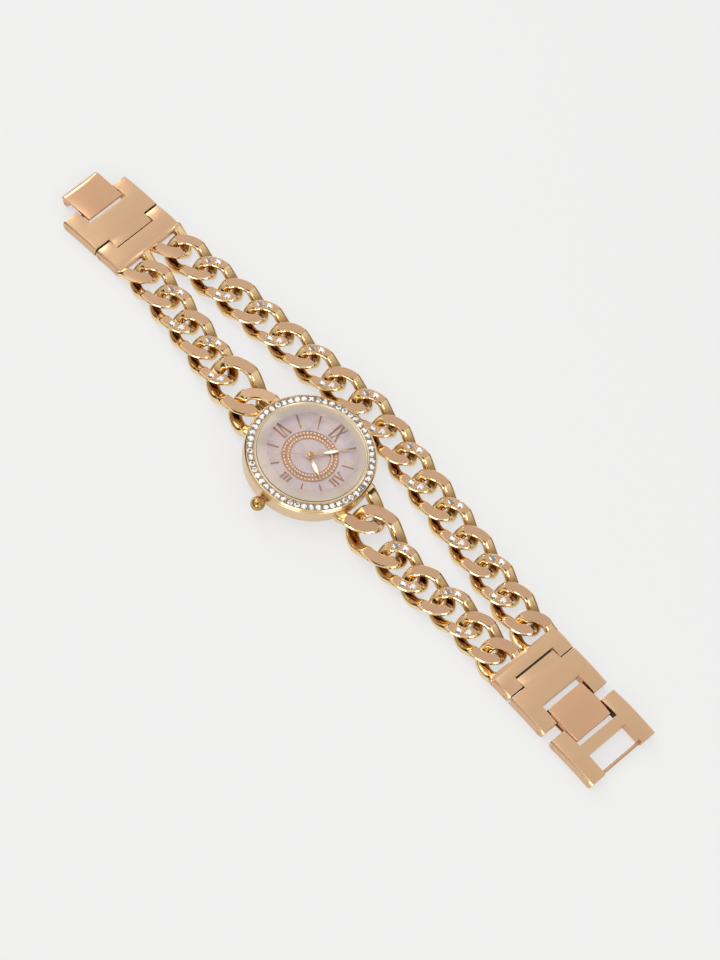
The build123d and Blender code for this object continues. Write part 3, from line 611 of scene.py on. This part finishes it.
# The slab between the two grinding planes.
slab_side = times(given["Length"], 3.0)
slab_size = link_node("ShaderNodeCombineXYZ", {0: slab_side, 1: slab_side, 2: given["Thickness"]})
slab = link_node("GeometryNodeMeshCube", {"Size": slab_size})
slab = finished(link_tree, slab, given["Pad"])
ground = add_node(
    link_tree, "GeometryNodeMeshBoolean", {"Mesh 2": wire}, operation="INTERSECT", solver="EXACT"
)
link_tree.links.new(slab, ground.inputs["Mesh 2"])
placed = link_node(
    "GeometryNodeTransform",
    {"Geometry": ground.outputs[0], "Translation": given["Centre"], "Rotation": given["Turn"]},
)
add_node(link_tree, "NodeGroupOutput", {0: placed})
print("nodes in the link tree:", len(link_tree.nodes))


# %% Make one piece from a tree
GOLD = "gold_polished"


def keep_shape(maker):
    """Keep what an object's modifiers make as its own plain mesh."""
    graph = bpy.context.evaluated_depsgraph_get()
    shape = bpy.data.meshes.new_from_object(maker.evaluated_get(graph))
    maker.modifiers.clear()
    maker.data = shape
    shape.name = maker.name
    return maker


def settle(piece, body, stands_for=()):
    """Let a finished piece ride on its body and hide the solids that it stands for."""
    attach(piece, body)
    if stands_for:
        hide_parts(*stands_for)
    return piece


def grow(name, tree, body, stands_for=(), slot_name=GOLD, points=(), **inputs):
    """Run a node tree, keep its result as a plain mesh and let it ride on its body."""
    maker = bpy.data.objects.new(name, bpy.data.meshes.new(name))
    maker.data.from_pydata([tuple(point) for point in points], [], [])
    bpy.context.scene.collection.objects.link(maker)
    modifier = maker.modifiers.new("shape", "NODES")
    modifier.node_group = tree
    sockets = {
        item.name: item.identifier
        for item in tree.interface.items_tree
        if item.in_out == "INPUT"
    }
    for key, value in inputs.items():
        modifier[sockets[key.replace("_", " ")]] = value
    return settle(keep_shape(maker), body, stands_for)


def smooth(piece, angle):
    """Shade a piece smoothly except across edges sharper than an angle in degrees."""
    piece.data.shade_smooth()
    piece.data.set_sharp_from_angle(angle=math.radians(angle))
    return piece


# %% [markdown]
# Each link lies where its solid lies. Its middle is the middle of the solid's box, and its
# direction comes from the joints before and after it, which sit halfway to its neighbours.

# %% Links
PAD_EDGE = 24
ROW_LINKS = sorted(
    name for name in frame["nodes"] if "_link_" in name and not name.endswith("pin")
)
joints = {joint["child"]: joint for joint in frame["joints"]}
children = {}
for joint in frame["joints"]:
    children.setdefault(joint["parent"], []).append(joint["child"])


def link_place(name):
    """The middle of a link and its heading, both read from the solids and joints."""
    low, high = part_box(name)
    middle = (low + high) / 2
    before = Vector(joints[name]["pos_m"])
    after = middle
    if name in children:
        after = Vector(joints[children[name][0]]["pos_m"])
    step = after - before
    heading = math.atan2(step.y, step.x)
    if step.x < 0:
        heading += math.pi
    return middle, heading


for name in ROW_LINKS:
    middle, heading = link_place(name)
    size = BIG if name.startswith("lower") and name.endswith("_1") else SMALL
    middle.z = size["Thickness"] / 2
    piece = grow(
        name + ".ring",
        link_tree,
        name,
        stands_for=(name,),
        Centre=middle,
        Turn=(0, 0, heading),
        Wire=wire_gold_shaded,
        Pad=satin_gold,
        **size,
    )
    smooth(piece, PAD_EDGE)
print("links made:", len(ROW_LINKS))

# %% [markdown]
# ## Turned pieces
# The case, bezel, flange, rails and glass are all round, so each is an outline of (radius,
# height) points spun round the upright axis. Every corner of the outline is eased first,
# because a real edge always catches a thin line of light.

# %% Turning helpers
TURNED_EDGE, CORNER_SHARE = 50, 0.4


def eased(outline, radius, steps=4):
    """Round an outline's corners by a radius, or less where the sides are short."""
    points = []
    for here, spot in enumerate(outline):
        corner = Vector(spot)
        if corner.x == 0:
            points.append(corner)
            continue
        before = Vector(outline[here - 1]) - corner
        after = Vector(outline[(here + 1) % len(outline)]) - corner
        reach = min(radius, before.length * CORNER_SHARE, after.length * CORNER_SHARE)
        first = corner + before.normalized() * reach
        last = corner + after.normalized() * reach
        for step in range(steps + 1):
            share = step / steps
            points.append(first.lerp(corner, share).lerp(corner.lerp(last, share), share))
    return points


def as_piece(name, mesh, finish):
    """Turn a bmesh into a plain object with one finish."""
    data = bpy.data.meshes.new(name)
    bmesh.ops.recalc_face_normals(mesh, faces=mesh.faces)
    mesh.to_mesh(data)
    mesh.free()
    data.materials.append(finish)
    piece = bpy.data.objects.new(name, data)
    bpy.context.scene.collection.objects.link(piece)
    return piece


def around(radius, count, height, start=0.0):
    """Evenly spaced points on a level circle, in metres from millimetres."""
    angles = [start + math.tau * step / count for step in range(count)]
    return [Vector((radius * math.cos(a), radius * math.sin(a), height)) * MM for a in angles]


def turned(name, body, outline, finish, radius, stands_for=(), steps=192):
    """Spin a closed outline, given in millimetres, and let the piece ride on its body."""
    mesh = bmesh.new()
    rings = []
    for reach, height in eased(outline, radius):
        turns = [math.tau * step / steps for step in range(steps if reach > 0 else 1)]
        spots = [
            (reach * MM * math.cos(turn), reach * MM * math.sin(turn), height * MM)
            for turn in turns
        ]
        rings.append([mesh.verts.new(spot) for spot in spots])
    for ring, after in zip(rings, rings[1:] + rings[:1]):
        if len(ring) == len(after) == 1:
            continue
        for step in range(steps):
            corners = []
            for row, place in ((ring, step), (ring, step + 1), (after, step + 1), (after, step)):
                corner = row[place % len(row)]
                if corner not in corners:
                    corners.append(corner)
            mesh.faces.new(corners)
    piece = smooth(as_piece(name, mesh, finish), TURNED_EDGE)
    return settle(piece, body, stands_for)


def square_ring(inner, outer, low, high):
    """The outline of a ring with a square section."""
    return ((inner, low), (outer, low), (outer, high), (inner, high))


# %% [markdown]
# ## Case, bezel and glass
# The case band is satin outside with a foot that tucks in under it. The bezel carries a
# channel for the stones between two thin bright rims. The glass has a wide bevel, whose
# milky glow is a painted reflection of the light, round a nearly flat middle.

# %% Case and its lugs
CASE_RADIUS, BORE_RADIUS, FOOT_RADIUS = 15.5, 12.9, 13.9
BACK_TOP, BAND_BOTTOM, BAND_TOP = 0.9, 2.2, 6.1
FOOT_SLOPE, SHOULDER = 0.25, 0.2
turned(
    "case.band",
    "case",
    (
        (BORE_RADIUS, BACK_TOP),
        (FOOT_RADIUS, BACK_TOP),
        (CASE_RADIUS - FOOT_SLOPE, BAND_BOTTOM - FOOT_SLOPE),
        (CASE_RADIUS, BAND_BOTTOM + FOOT_SLOPE),
        (CASE_RADIUS, BAND_TOP - SHOULDER),
        (CASE_RADIUS - SHOULDER, BAND_TOP),
        (BORE_RADIUS, BAND_TOP),
    ),
    band_gold,
    radius=0.35,
    stands_for=("case",),
)

LUG_REACH, LUG_ROOT, LUG_TILT = 14.9 * MM, 1.2 * MM, math.radians(9)
lug_tip = Vector(((BIG["Wire_Width"] - BIG["Length"]) / 2, 0, 0))
lug_spot = Vector((-LUG_REACH, 0, BIG["Thickness"] / 2))
tilt = Matrix.Rotation(-LUG_TILT, 3, "Y")
for side, yaw in (("left", 0), ("right", math.pi)):
    swing = Matrix.Rotation(yaw, 3, "Z")
    lug = grow(
        f"case.{side}_lug",
        link_tree,
        "case",
        Start=math.pi / 2,
        Sweep=math.pi,
        Closed=False,
        Root=LUG_ROOT,
        Centre=swing @ (lug_spot + lug_tip - tilt @ lug_tip),
        Turn=(swing @ tilt).to_euler(),
        Wire=wire_gold_shaded,
        Pad=satin_gold,
        **BIG,
    )
    # The tilted lug would reach below the back of the watch, so it ends level with it.
    for corner in lug.data.vertices:
        corner.co.z = max(corner.co.z, 0)
    smooth(lug, PAD_EDGE)
print("lugs made: 2")

# %% Bezel
BEZEL_TOP, BEZEL_SLOPE, BEZEL_FOOT = 7.05, 0.35, 0.15
ROW_RADIUS, ROW_WIDTH, ROW_DEPTH = 14.25, 1.55, 0.16
GLASS_RADIUS, GLASS_GAP = 12.75, 0.4
RIM_WIDTH, CHANNEL_DEPTH = 0.12, 0.1
LIP_STAND, LIP_RISE, LIP_DROP = 0.04, 0.01, 0.17
# The channel and the lip are liners that overlap the metal round them by this much.
OVERLAP = 0.02
row_inner, row_outer = ROW_RADIUS - ROW_WIDTH / 2, ROW_RADIUS + ROW_WIDTH / 2
row_floor = BEZEL_TOP - ROW_DEPTH
bezel_bore = GLASS_RADIUS + GLASS_GAP
turned(
    "bezel.rims",
    "case",
    (
        (bezel_bore, BAND_TOP),
        (CASE_RADIUS - SHOULDER, BAND_TOP),
        (CASE_RADIUS, BAND_TOP + BEZEL_FOOT),
        (CASE_RADIUS, BEZEL_TOP - BEZEL_SLOPE),
        (row_outer + RIM_WIDTH, BEZEL_TOP),
        (row_outer, BEZEL_TOP),
        (row_outer, row_floor),
        (row_inner, row_floor),
        (row_inner, BEZEL_TOP),
        (row_inner - RIM_WIDTH, BEZEL_TOP),
        (bezel_bore, BEZEL_TOP - SHOULDER),
    ),
    polished_gold,
    radius=0.08,
    stands_for=("bezel",),
)
# The channel liner's dark floor is painted shade between the stones.
turned(
    "bezel.channel",
    "case",
    square_ring(
        row_inner + OVERLAP, row_outer - OVERLAP, row_floor - CHANNEL_DEPTH, row_floor + OVERLAP
    ),
    channel_painted_shade,
    radius=0.01,
)
lip_inner, lip_outer = bezel_bore - LIP_STAND, row_inner - RIM_WIDTH - LIP_STAND
turned(
    "bezel.lip",
    "case",
    (
        (lip_inner, BAND_TOP + OVERLAP),
        (lip_outer, BAND_TOP + OVERLAP),
        (lip_outer, BEZEL_TOP + LIP_RISE),
        (lip_inner, BEZEL_TOP - LIP_DROP),
    ),
    flange_gold,
    radius=0.04,
)
print("bezel rings made: 3")

# %% Glass, gasket and flange
GLASS_EDGE = BAND_TOP + 0.9
BEVEL_WIDTH, BEVEL_HEIGHT = 2.35, 0.65
GLASS_DOME, DOME_STEPS = 0.3, 10
GLASS_FACET = 12
BEVEL_SLOPES = (0.3, 0.99)
dome_reach = GLASS_RADIUS - BEVEL_WIDTH
dome = [
    (
        dome_reach * step / DOME_STEPS,
        GLASS_EDGE + BEVEL_HEIGHT + GLASS_DOME * (1 - (step / DOME_STEPS) ** 2),
    )
    for step in range(DOME_STEPS + 1)
]
glass = turned(
    "glass.crystal",
    "case",
    ((0, BAND_TOP), *dome, (GLASS_RADIUS, GLASS_EDGE), (GLASS_RADIUS, BAND_TOP)),
    crystal,
    radius=0.05,
    stands_for=("glass",),
)
smooth(glass, GLASS_FACET)
glass.data.materials.append(bevel_glass)
for face in glass.data.polygons:
    face_reach = math.hypot(face.center.x, face.center.y)
    if BEVEL_SLOPES[0] < face.normal.z < BEVEL_SLOPES[1] and face_reach > dome_reach * MM:
        face.material_index = 1

GASKET_INNER, GASKET_OUTER = GLASS_RADIUS + 0.05, GLASS_RADIUS + 0.35
GASKET_HEIGHT = 0.72
turned(
    "glass_gasket.ring",
    "case",
    square_ring(GASKET_INNER, GASKET_OUTER, BAND_TOP, BAND_TOP + GASKET_HEIGHT),
    flange_gold,
    radius=0.08,
    stands_for=("glass_gasket",),
)

DIAL_TOP = 4.5
FLANGE_FOOT, FLANGE_TOP, FLANGE_OUTER, FLANGE_GAP = 12.3, 12.6, 12.8, 0.01
turned(
    "rehaut.ring",
    "case",
    (
        (FLANGE_FOOT, DIAL_TOP + FLANGE_GAP),
        (FLANGE_OUTER, DIAL_TOP + FLANGE_GAP),
        (FLANGE_OUTER, BAND_TOP - FLANGE_GAP),
        (FLANGE_TOP, BAND_TOP - FLANGE_GAP),
    ),
    flange_gold,
    radius=0.06,
    stands_for=("rehaut",),
)
print("glass, gasket and flange made")

# %% [markdown]
# ## Stones and beads
# Fifty-four stones stand in the bezel and four on every second link, each held by small
# beads of metal. Two trees set them: one puts a cut stone on every point of a mesh, the
# other puts a round bead there. A stone has an eight-sided crown and pavilion with a flat
# table. Its turn and the number that each facet carries are random, so that no two stones
# answer the lamps alike. The stone finish turns each facet's number into a painted glint
# or painted shade.

# %% Stone tree
WELD = 0.005 * MM
stone_tree = new_group(
    "Stones on points",
    "GeometryNodeTree",
    {
        "Geometry": "Geometry",
        "Girdle": 0.73 * MM,
        "Table": 0.36 * MM,
        "Crown": 0.22 * MM,
        "Pavilion": 0.4 * MM,
        "Facets": 8,
        "Seed": 3,
        "Stone": "Material",
    },
    {"Geometry": "Geometry"},
)
given = add_node(stone_tree, "NodeGroupInput").outputs
stone_node = partial(output_of, stone_tree)


def facets(top, bottom, depth):
    """A ring of facets between two radii."""
    inputs = {
        "Vertices": given["Facets"],
        "Radius Top": top,
        "Radius Bottom": bottom,
        "Depth": depth,
    }
    return stone_node("GeometryNodeMeshCone", inputs, fill_type="NONE")


def shifted(geometry, height):
    """A part of the stone moved up by a height."""
    upward = stone_node("ShaderNodeCombineXYZ", {2: height})
    return stone_node("GeometryNodeTransform", {"Geometry": geometry, "Translation": upward})


crown = facets(given["Table"], given["Girdle"], given["Crown"])
table = stone_node(
    "GeometryNodeMeshCircle",
    {"Vertices": given["Facets"], "Radius": given["Table"]},
    fill_type="NGON",
)
table = shifted(table, given["Crown"])
pavilion = facets(given["Girdle"], 0.0, given["Pavilion"])
pavilion = shifted(pavilion, calc(stone_tree, "MULTIPLY", given["Pavilion"], -1.0))
joined = add_node(stone_tree, "GeometryNodeJoinGeometry")
for part in (crown, table, pavilion):
    stone_tree.links.new(part, joined.inputs[0])
one_stone = stone_node(
    "GeometryNodeMergeByDistance", {"Geometry": joined.outputs[0], "Distance": WELD}
)
random_number = partial(stone_node, "FunctionNodeRandomValue", output=1, data_type="FLOAT")
spin = stone_node("ShaderNodeCombineXYZ", {2: random_number({"Seed": given["Seed"], 3: math.tau})})
stones = stone_node(
    "GeometryNodeInstanceOnPoints",
    {"Points": given["Geometry"], "Instance": one_stone, "Rotation": spin},
)
stones = stone_node("GeometryNodeRealizeInstances", {0: stones})
# Each facet's random number, which the stone finish turns into a painted glint or painted shade.
glint = random_number({"Seed": given["Seed"]})
stones = store(stone_tree, stones, "facet", glint, domain="FACE")
stones = finished(stone_tree, stones, given["Stone"])
add_node(stone_tree, "NodeGroupOutput", {0: stones})
print("nodes in the stone tree:", len(stone_tree.nodes))

# %% Bead tree
BEAD_SEGMENTS, BEAD_RINGS = 8, 5
BEAD_EDGE = 80
bead_tree = new_group(
    "Beads on points",
    "GeometryNodeTree",
    {"Geometry": "Geometry", "Radius": 0.14 * MM, "Metal": "Material"},
    {"Geometry": "Geometry"},
)
given = add_node(bead_tree, "NodeGroupInput").outputs
ball = {"Segments": BEAD_SEGMENTS, "Rings": BEAD_RINGS, "Radius": given["Radius"]}
one_bead = output_of(bead_tree, "GeometryNodeMeshUVSphere", ball)
beads = output_of(
    bead_tree,
    "GeometryNodeInstanceOnPoints",
    {"Points": given["Geometry"], "Instance": one_bead},
)
beads = output_of(bead_tree, "GeometryNodeRealizeInstances", {0: beads})
beads = finished(bead_tree, beads, given["Metal"])
add_node(bead_tree, "NodeGroupOutput", {0: beads})


def set_beads(name, body, points, radius, finish):
    """Put a bead of a radius in millimetres on every point."""
    made = grow(name, bead_tree, body, points=points, Radius=radius * MM, Metal=finish)
    return smooth(made, BEAD_EDGE)


print("nodes in the bead tree:", len(bead_tree.nodes))

# %% Stones and beads of the bezel
BEZEL_STONES = 54
STONE_STAND, PRONG_STAND = 0.04, 0.06
PRONG_INSET, PRONG_RADIUS = 0.2, 0.17
grow(
    "bezel_crystals.stones",
    stone_tree,
    "case",
    stands_for=("bezel_crystals",),
    slot_name="stone",
    points=around(ROW_RADIUS, BEZEL_STONES, row_floor + STONE_STAND),
    Girdle=0.74 * MM,
    Stone=stone_white,
)
half_step = math.pi / BEZEL_STONES
prongs = []
for edge in (row_inner + PRONG_INSET, row_outer - PRONG_INSET):
    prongs += around(edge, BEZEL_STONES, row_floor + PRONG_STAND, half_step)
set_beads("bezel.prongs", "case", prongs, PRONG_RADIUS, polished_gold)
print("stones in the bezel:", BEZEL_STONES)

# %% Stones and beads of the links
STONE_SPACING, PAD_STONE_STAND = 2.3 * MM, 0.05 * MM
MILGRAIN_COUNT, MILGRAIN_RING, MILGRAIN_RADIUS, MILGRAIN_STAND = 10, 0.97, 0.2, 0.02


def pad_stones(middle, heading):
    """Places of the two stones on each of a small link's two upper pads."""
    half_length = (SMALL["Length"] - SMALL["Wire_Width"]) / 2
    half_width = (SMALL["Width"] - SMALL["Wire_Width"]) / 2
    step = STONE_SPACING / 2 / (math.hypot(half_length, half_width) / math.sqrt(2))
    flat = Matrix.Rotation(heading, 3, "Z")
    places = []
    for pad in (3 * math.pi / 4, 7 * math.pi / 4):
        for side in (-1, 1):
            turn = pad + side * step
            spot = Vector((half_length * math.cos(turn), half_width * math.sin(turn), 0))
            place = middle + flat @ spot
            place.z = SMALL["Thickness"]
            places.append(place)
    return places


set_links = [name for name in ROW_LINKS if int(name[-2:].strip("_")) % 2 == 0]
for name in set_links:
    middle, heading = link_place(name)
    seats = pad_stones(middle, heading)
    grow(
        name + ".stones",
        stone_tree,
        name,
        slot_name="stone",
        points=[seat + Vector((0, 0, PAD_STONE_STAND)) for seat in seats],
        Girdle=0.8 * MM,
        Table=0.48 * MM,
        Stone=stone_white,
    )
    ring = around(MILGRAIN_RING, MILGRAIN_COUNT, MILGRAIN_STAND, heading)
    grains = [seat + grain for seat in seats for grain in ring]
    set_beads(name + ".milgrain", name, grains, MILGRAIN_RADIUS, polished_gold)
print("links with stones:", len(set_links))

# %% [markdown]
# ## Dial work and hands
# The dial carries a double row of gold beads between three rails, applied bars and Roman
# numerals. The bars and numerals are copies of the solids with their edges softened, which
# is what makes applied metal glint. The hour and minute hands are thin gold blades with a
# white lozenge let into the widest part, and the second hand is a needle under a cap.

# %% Copies with softened edges
SHARP_CORNER = math.radians(35)
NEARLY_FLAT = math.radians(0.4)
SAME_SPOT = 0.001 * MM


def refined(name, node, finish, body, width):
    """A merged copy of a solid's surface with its sharp edges rolled over."""
    mesh = bmesh.new()
    mesh.from_mesh(frame["nodes"][node].data)
    bmesh.ops.remove_doubles(mesh, verts=mesh.verts, dist=SAME_SPOT)
    bmesh.ops.dissolve_limit(mesh, angle_limit=NEARLY_FLAT, verts=mesh.verts, edges=mesh.edges)
    piece = as_piece(name, mesh, finish)
    piece.data.materials.append(polished_gold)
    edge = piece.modifiers.new("edge", "BEVEL")
    edge.width = width * MM
    edge.segments = 3
    edge.limit_method = "ANGLE"
    edge.angle_limit = SHARP_CORNER
    edge.material = 1
    smooth(keep_shape(piece), TURNED_EDGE)
    return settle(piece, body, (node,))


refined("dial_markers.applied", "dial_markers", rose_gold, "case", 0.03)
print("applied markers softened")

# %% Beaded rings of the dial
RAILS, RAIL_WIDTH, RAIL_HEIGHT, RAIL_STEPS = (6.55, 5.55, 4.55), 0.14, 0.12, 96
BEAD_ROWS, ROW_BEADS, BEAD_RADIUS, BEAD_STAND = (6.05, 5.05), 44, 0.35, 0.05
for count, rail in enumerate(RAILS):
    inner, outer = rail - RAIL_WIDTH / 2, rail + RAIL_WIDTH / 2
    turned(
        f"dial_beads.rail_{count + 1}",
        "case",
        square_ring(inner, outer, DIAL_TOP, DIAL_TOP + RAIL_HEIGHT),
        rail_gold,
        radius=0.05,
        stands_for=("dial_beads",) if count == 0 else (),
        steps=RAIL_STEPS,
    )
turned(
    "dial_beads.bed",
    "case",
    square_ring(RAILS[-1], RAILS[0], DIAL_TOP, DIAL_TOP + RAIL_HEIGHT / 3),
    rail_gold,
    radius=0.01,
    steps=RAIL_STEPS,
)
dial_dots = []
for row in BEAD_ROWS:
    dial_dots += around(row, ROW_BEADS, DIAL_TOP + BEAD_STAND)
set_beads("dial_beads.rows", "case", dial_dots, BEAD_RADIUS, bead_gold)
print("dial beads:", len(dial_dots))

# %% Hands
BLADE_EDGE = 60
HAND_THICKNESS, HAND_BEVEL = 0.14, 0.03
LUME_STAND, LUME_BEVEL = 0.03, 0.01
HUB_BORE, HUB_RADIUS, HUB_RISE, HUB_STEPS = 0.2, 0.85, 0.04, 48


def blade(name, body, outline, level, thickness, finish, bevel, stands_for=()):
    """A flat piece of metal or paint cut to an outline, with softened edges."""
    mesh = bmesh.new()
    bottom, top = level * MM, level * MM + thickness * MM
    lower = [mesh.verts.new((x, y, bottom)) for x, y in outline]
    upper = [mesh.verts.new((x, y, top)) for x, y in outline]
    mesh.faces.new(reversed(lower))
    mesh.faces.new(upper)
    for here in range(len(outline)):
        after = (here + 1) % len(outline)
        mesh.faces.new((lower[here], lower[after], upper[after], upper[here]))
    bmesh.ops.bevel(
        mesh,
        geom=[edge for edge in mesh.edges if edge.verts[0].co.z == edge.verts[1].co.z],
        offset=bevel * MM,
        segments=2,
        affect="EDGES",
        profile=0.5,
    )
    return settle(smooth(as_piece(name, mesh, finish), BLADE_EDGE), body, stands_for)


def hand_outline(length, width, angle, shares, tail):
    """Both sides of a hand, from shares of its length and half width, turned to where it points."""
    side = [(along * length, across * width / 2) for along, across in shares]
    if tail:
        side = [(-tail, side[0][1])] + side
    whole = side + [(along, -across) for along, across in reversed(side)]
    turn = Matrix.Rotation(math.radians(angle), 2)
    return [turn @ Vector(point) * MM for point in whole]


HANDS = {
    # name: angle, length, width, level, tail, blade shares, lume shares
    "hour_hand": (
        -25.2, 6.6, 1.25, 4.76, 1.3,
        ((0.0, 0.3), (0.2, 0.34), (0.34, 0.8), (0.48, 1), (0.64, 0.74), (0.8, 0.28), (1, 0.14)),
        ((0.24, 0.12), (0.36, 0.52), (0.48, 0.68), (0.62, 0.48), (0.77, 0.1)),
    ),
    "minute_hand": (
        57.6, 10.8, 1.15, 5.04, 1.3,
        ((0.0, 0.3), (0.27, 0.32), (0.36, 0.8), (0.45, 1), (0.55, 0.76), (0.64, 0.3), (1, 0.14)),
        ((0.29, 0.12), (0.37, 0.52), (0.45, 0.68), (0.54, 0.48), (0.62, 0.1)),
    ),
}
for name, (angle, length, width, level, tail, sides, lume_sides) in HANDS.items():
    top = level + HAND_THICKNESS
    shape = hand_outline(length, width, angle, sides, tail)
    blade(name + ".blade", name, shape, level, HAND_THICKNESS, hand_gold, HAND_BEVEL, (name,))
    shape = hand_outline(length, width, angle, lume_sides, 0)
    blade(name + ".lume", name, shape, top - LUME_STAND, 2 * LUME_STAND, lume, LUME_BEVEL)
    turned(
        name + ".hub",
        name,
        ((HUB_BORE, level), (HUB_RADIUS, level), (HUB_RADIUS, top), (HUB_BORE, top + HUB_RISE)),
        hand_gold,
        radius=0.04,
        steps=HUB_STEPS,
    )

SECOND_LEVEL, SECOND_BEVEL = 5.32, 0.02
SECOND_LENGTH, SECOND_WIDTH, SECOND_ANGLE, SECOND_TAIL = 9.0, 0.22, -136.2, 3.0
PIN_RADIUS, PIN_DEPTH = 0.14, 0.9
CAP_RADIUS, CAP_SHOULDER, CAP_RISE, CAP_TOP = 0.62, 0.34, 0.26, 0.3
SECOND_SHARES = ((0, 1), (1, 0.5))
blade(
    "second_hand.blade",
    "second_hand",
    hand_outline(SECOND_LENGTH, SECOND_WIDTH, SECOND_ANGLE, SECOND_SHARES, SECOND_TAIL),
    SECOND_LEVEL,
    HAND_THICKNESS,
    hand_gold,
    SECOND_BEVEL,
    stands_for=("second_hand",),
)
turned(
    "second_hand.cap",
    "second_hand",
    (
        (0, SECOND_LEVEL - PIN_DEPTH),
        (PIN_RADIUS, SECOND_LEVEL - PIN_DEPTH),
        (PIN_RADIUS, SECOND_LEVEL),
        (CAP_RADIUS, SECOND_LEVEL),
        (CAP_RADIUS, SECOND_LEVEL + HAND_THICKNESS),
        (CAP_SHOULDER, SECOND_LEVEL + CAP_RISE),
        (0, SECOND_LEVEL + CAP_TOP),
    ),
    crown_gold,
    radius=0.06,
    steps=HUB_STEPS,
)
print("hands made: 3")

# %% [markdown]
# ## Plates, clasp and crown
# The plates, the clasp and the crown are right as solids, but their edges are knife sharp.
# A merged copy of each gets its edges rolled over, which gives the thin bright lines that
# show where one plate meets the next. No light reaches the walls inside a narrow seam, so
# each wall that faces another plate from close by is left dark.

# %% Dark seams
SEAM = 0.7 * MM
WALL_SLOPE = 0.5


def darken_seams(piece, *neighbours):
    """Give the walls of a piece that face a close neighbour the dark material, as painted shade."""
    around_it = []
    for node in neighbours:
        mesh = frame["nodes"][node].data
        corners = [corner.co for corner in mesh.vertices]
        around_it.append(BVHTree.FromPolygons(corners, [face.vertices for face in mesh.polygons]))
    piece.data.materials.append(dark_gap)
    for face in piece.data.polygons:
        if abs(face.normal.z) < WALL_SLOPE:
            near = [other.ray_cast(face.center, face.normal, SEAM)[0] for other in around_it]
            if any(near):
                face.material_index = len(piece.data.materials) - 1
    return piece


# %% Half rings of the end pieces
RING_PLATES = {
    # plate: its own pin, the next pin outward, distance from the plate's inner end to its pin
    "left_end_piece": ("left_end_pin", "left_link_pin", 6.6 * MM),
    "right_end_piece": ("right_end_pin", "right_link_pin", 5.2 * MM),
}
PAD_HEIGHT, PAD_SLOPE = 3.1 * MM, 0.95
LOOP_OFFSET = 5.5 * MM
PLATE_MARGIN = 0.02 * MM


def polish_rings(piece, pin, next_pin, reach):
    """Finish the half rings of an end piece as the other links are finished."""
    middle = sum(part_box(pin), Vector()) / 2
    outward = sum(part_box(next_pin), Vector()) / 2 - middle
    outward.z = 0
    outward.normalize()
    piece.data.materials.append(satin_gold)
    piece.data.materials.append(wire_gold_shaded)
    pad, wall = len(piece.data.materials) - 2, len(piece.data.materials) - 1
    aside = outward.cross(Vector((0, 0, 1)))
    # Which faces look into a loop, for the painted shade of the wire finish at their foot.
    inside = piece.data.attributes.new("inside", "FLOAT", "FACE")
    for face in piece.data.polygons:
        spot = face.center
        from_pin = spot - middle
        side = math.copysign(LOOP_OFFSET, from_pin.dot(aside))
        from_loop = from_pin + outward * reach - aside * side
        from_loop.z = 0
        inside.data[face.index].value = float(from_loop.dot(face.normal) < 0)
        if spot.z > PAD_HEIGHT and face.normal.z > PAD_SLOPE:
            face.material_index = pad
        elif from_pin.dot(outward) < -reach - PLATE_MARGIN:
            face.material_index = wall
    return piece


# %% Plates, clasp and crown
PLATES = {
    # plate: the plates that it meets in a seam
    "left_end_piece": ("left_link",),
    "left_link": ("left_end_piece",),
    "right_end_piece": ("right_link",),
    "right_link": ("right_end_piece", "box_link"),
    "catch_link": ("box_link",),
}
for name, neighbours in PLATES.items():
    plate = refined(name + ".plate", name, plate_gold, name, 0.08)
    darken_seams(plate, *neighbours)
    if name in RING_PLATES:
        polish_rings(plate, *RING_PLATES[name])
refined("clasp_leaf.strip", "clasp_leaf", polished_gold, "clasp_leaf", 0.06)
refined("clasp_cover.shell", "clasp_cover", cover_gold, "clasp_cover", 0.1)
refined("box_link.shell", "box_link", cover_gold, "box_link", 0.08)
refined("crown.knob", "crown", crown_gold, "crown", 0.05)
print("plates and clasp pieces refined")
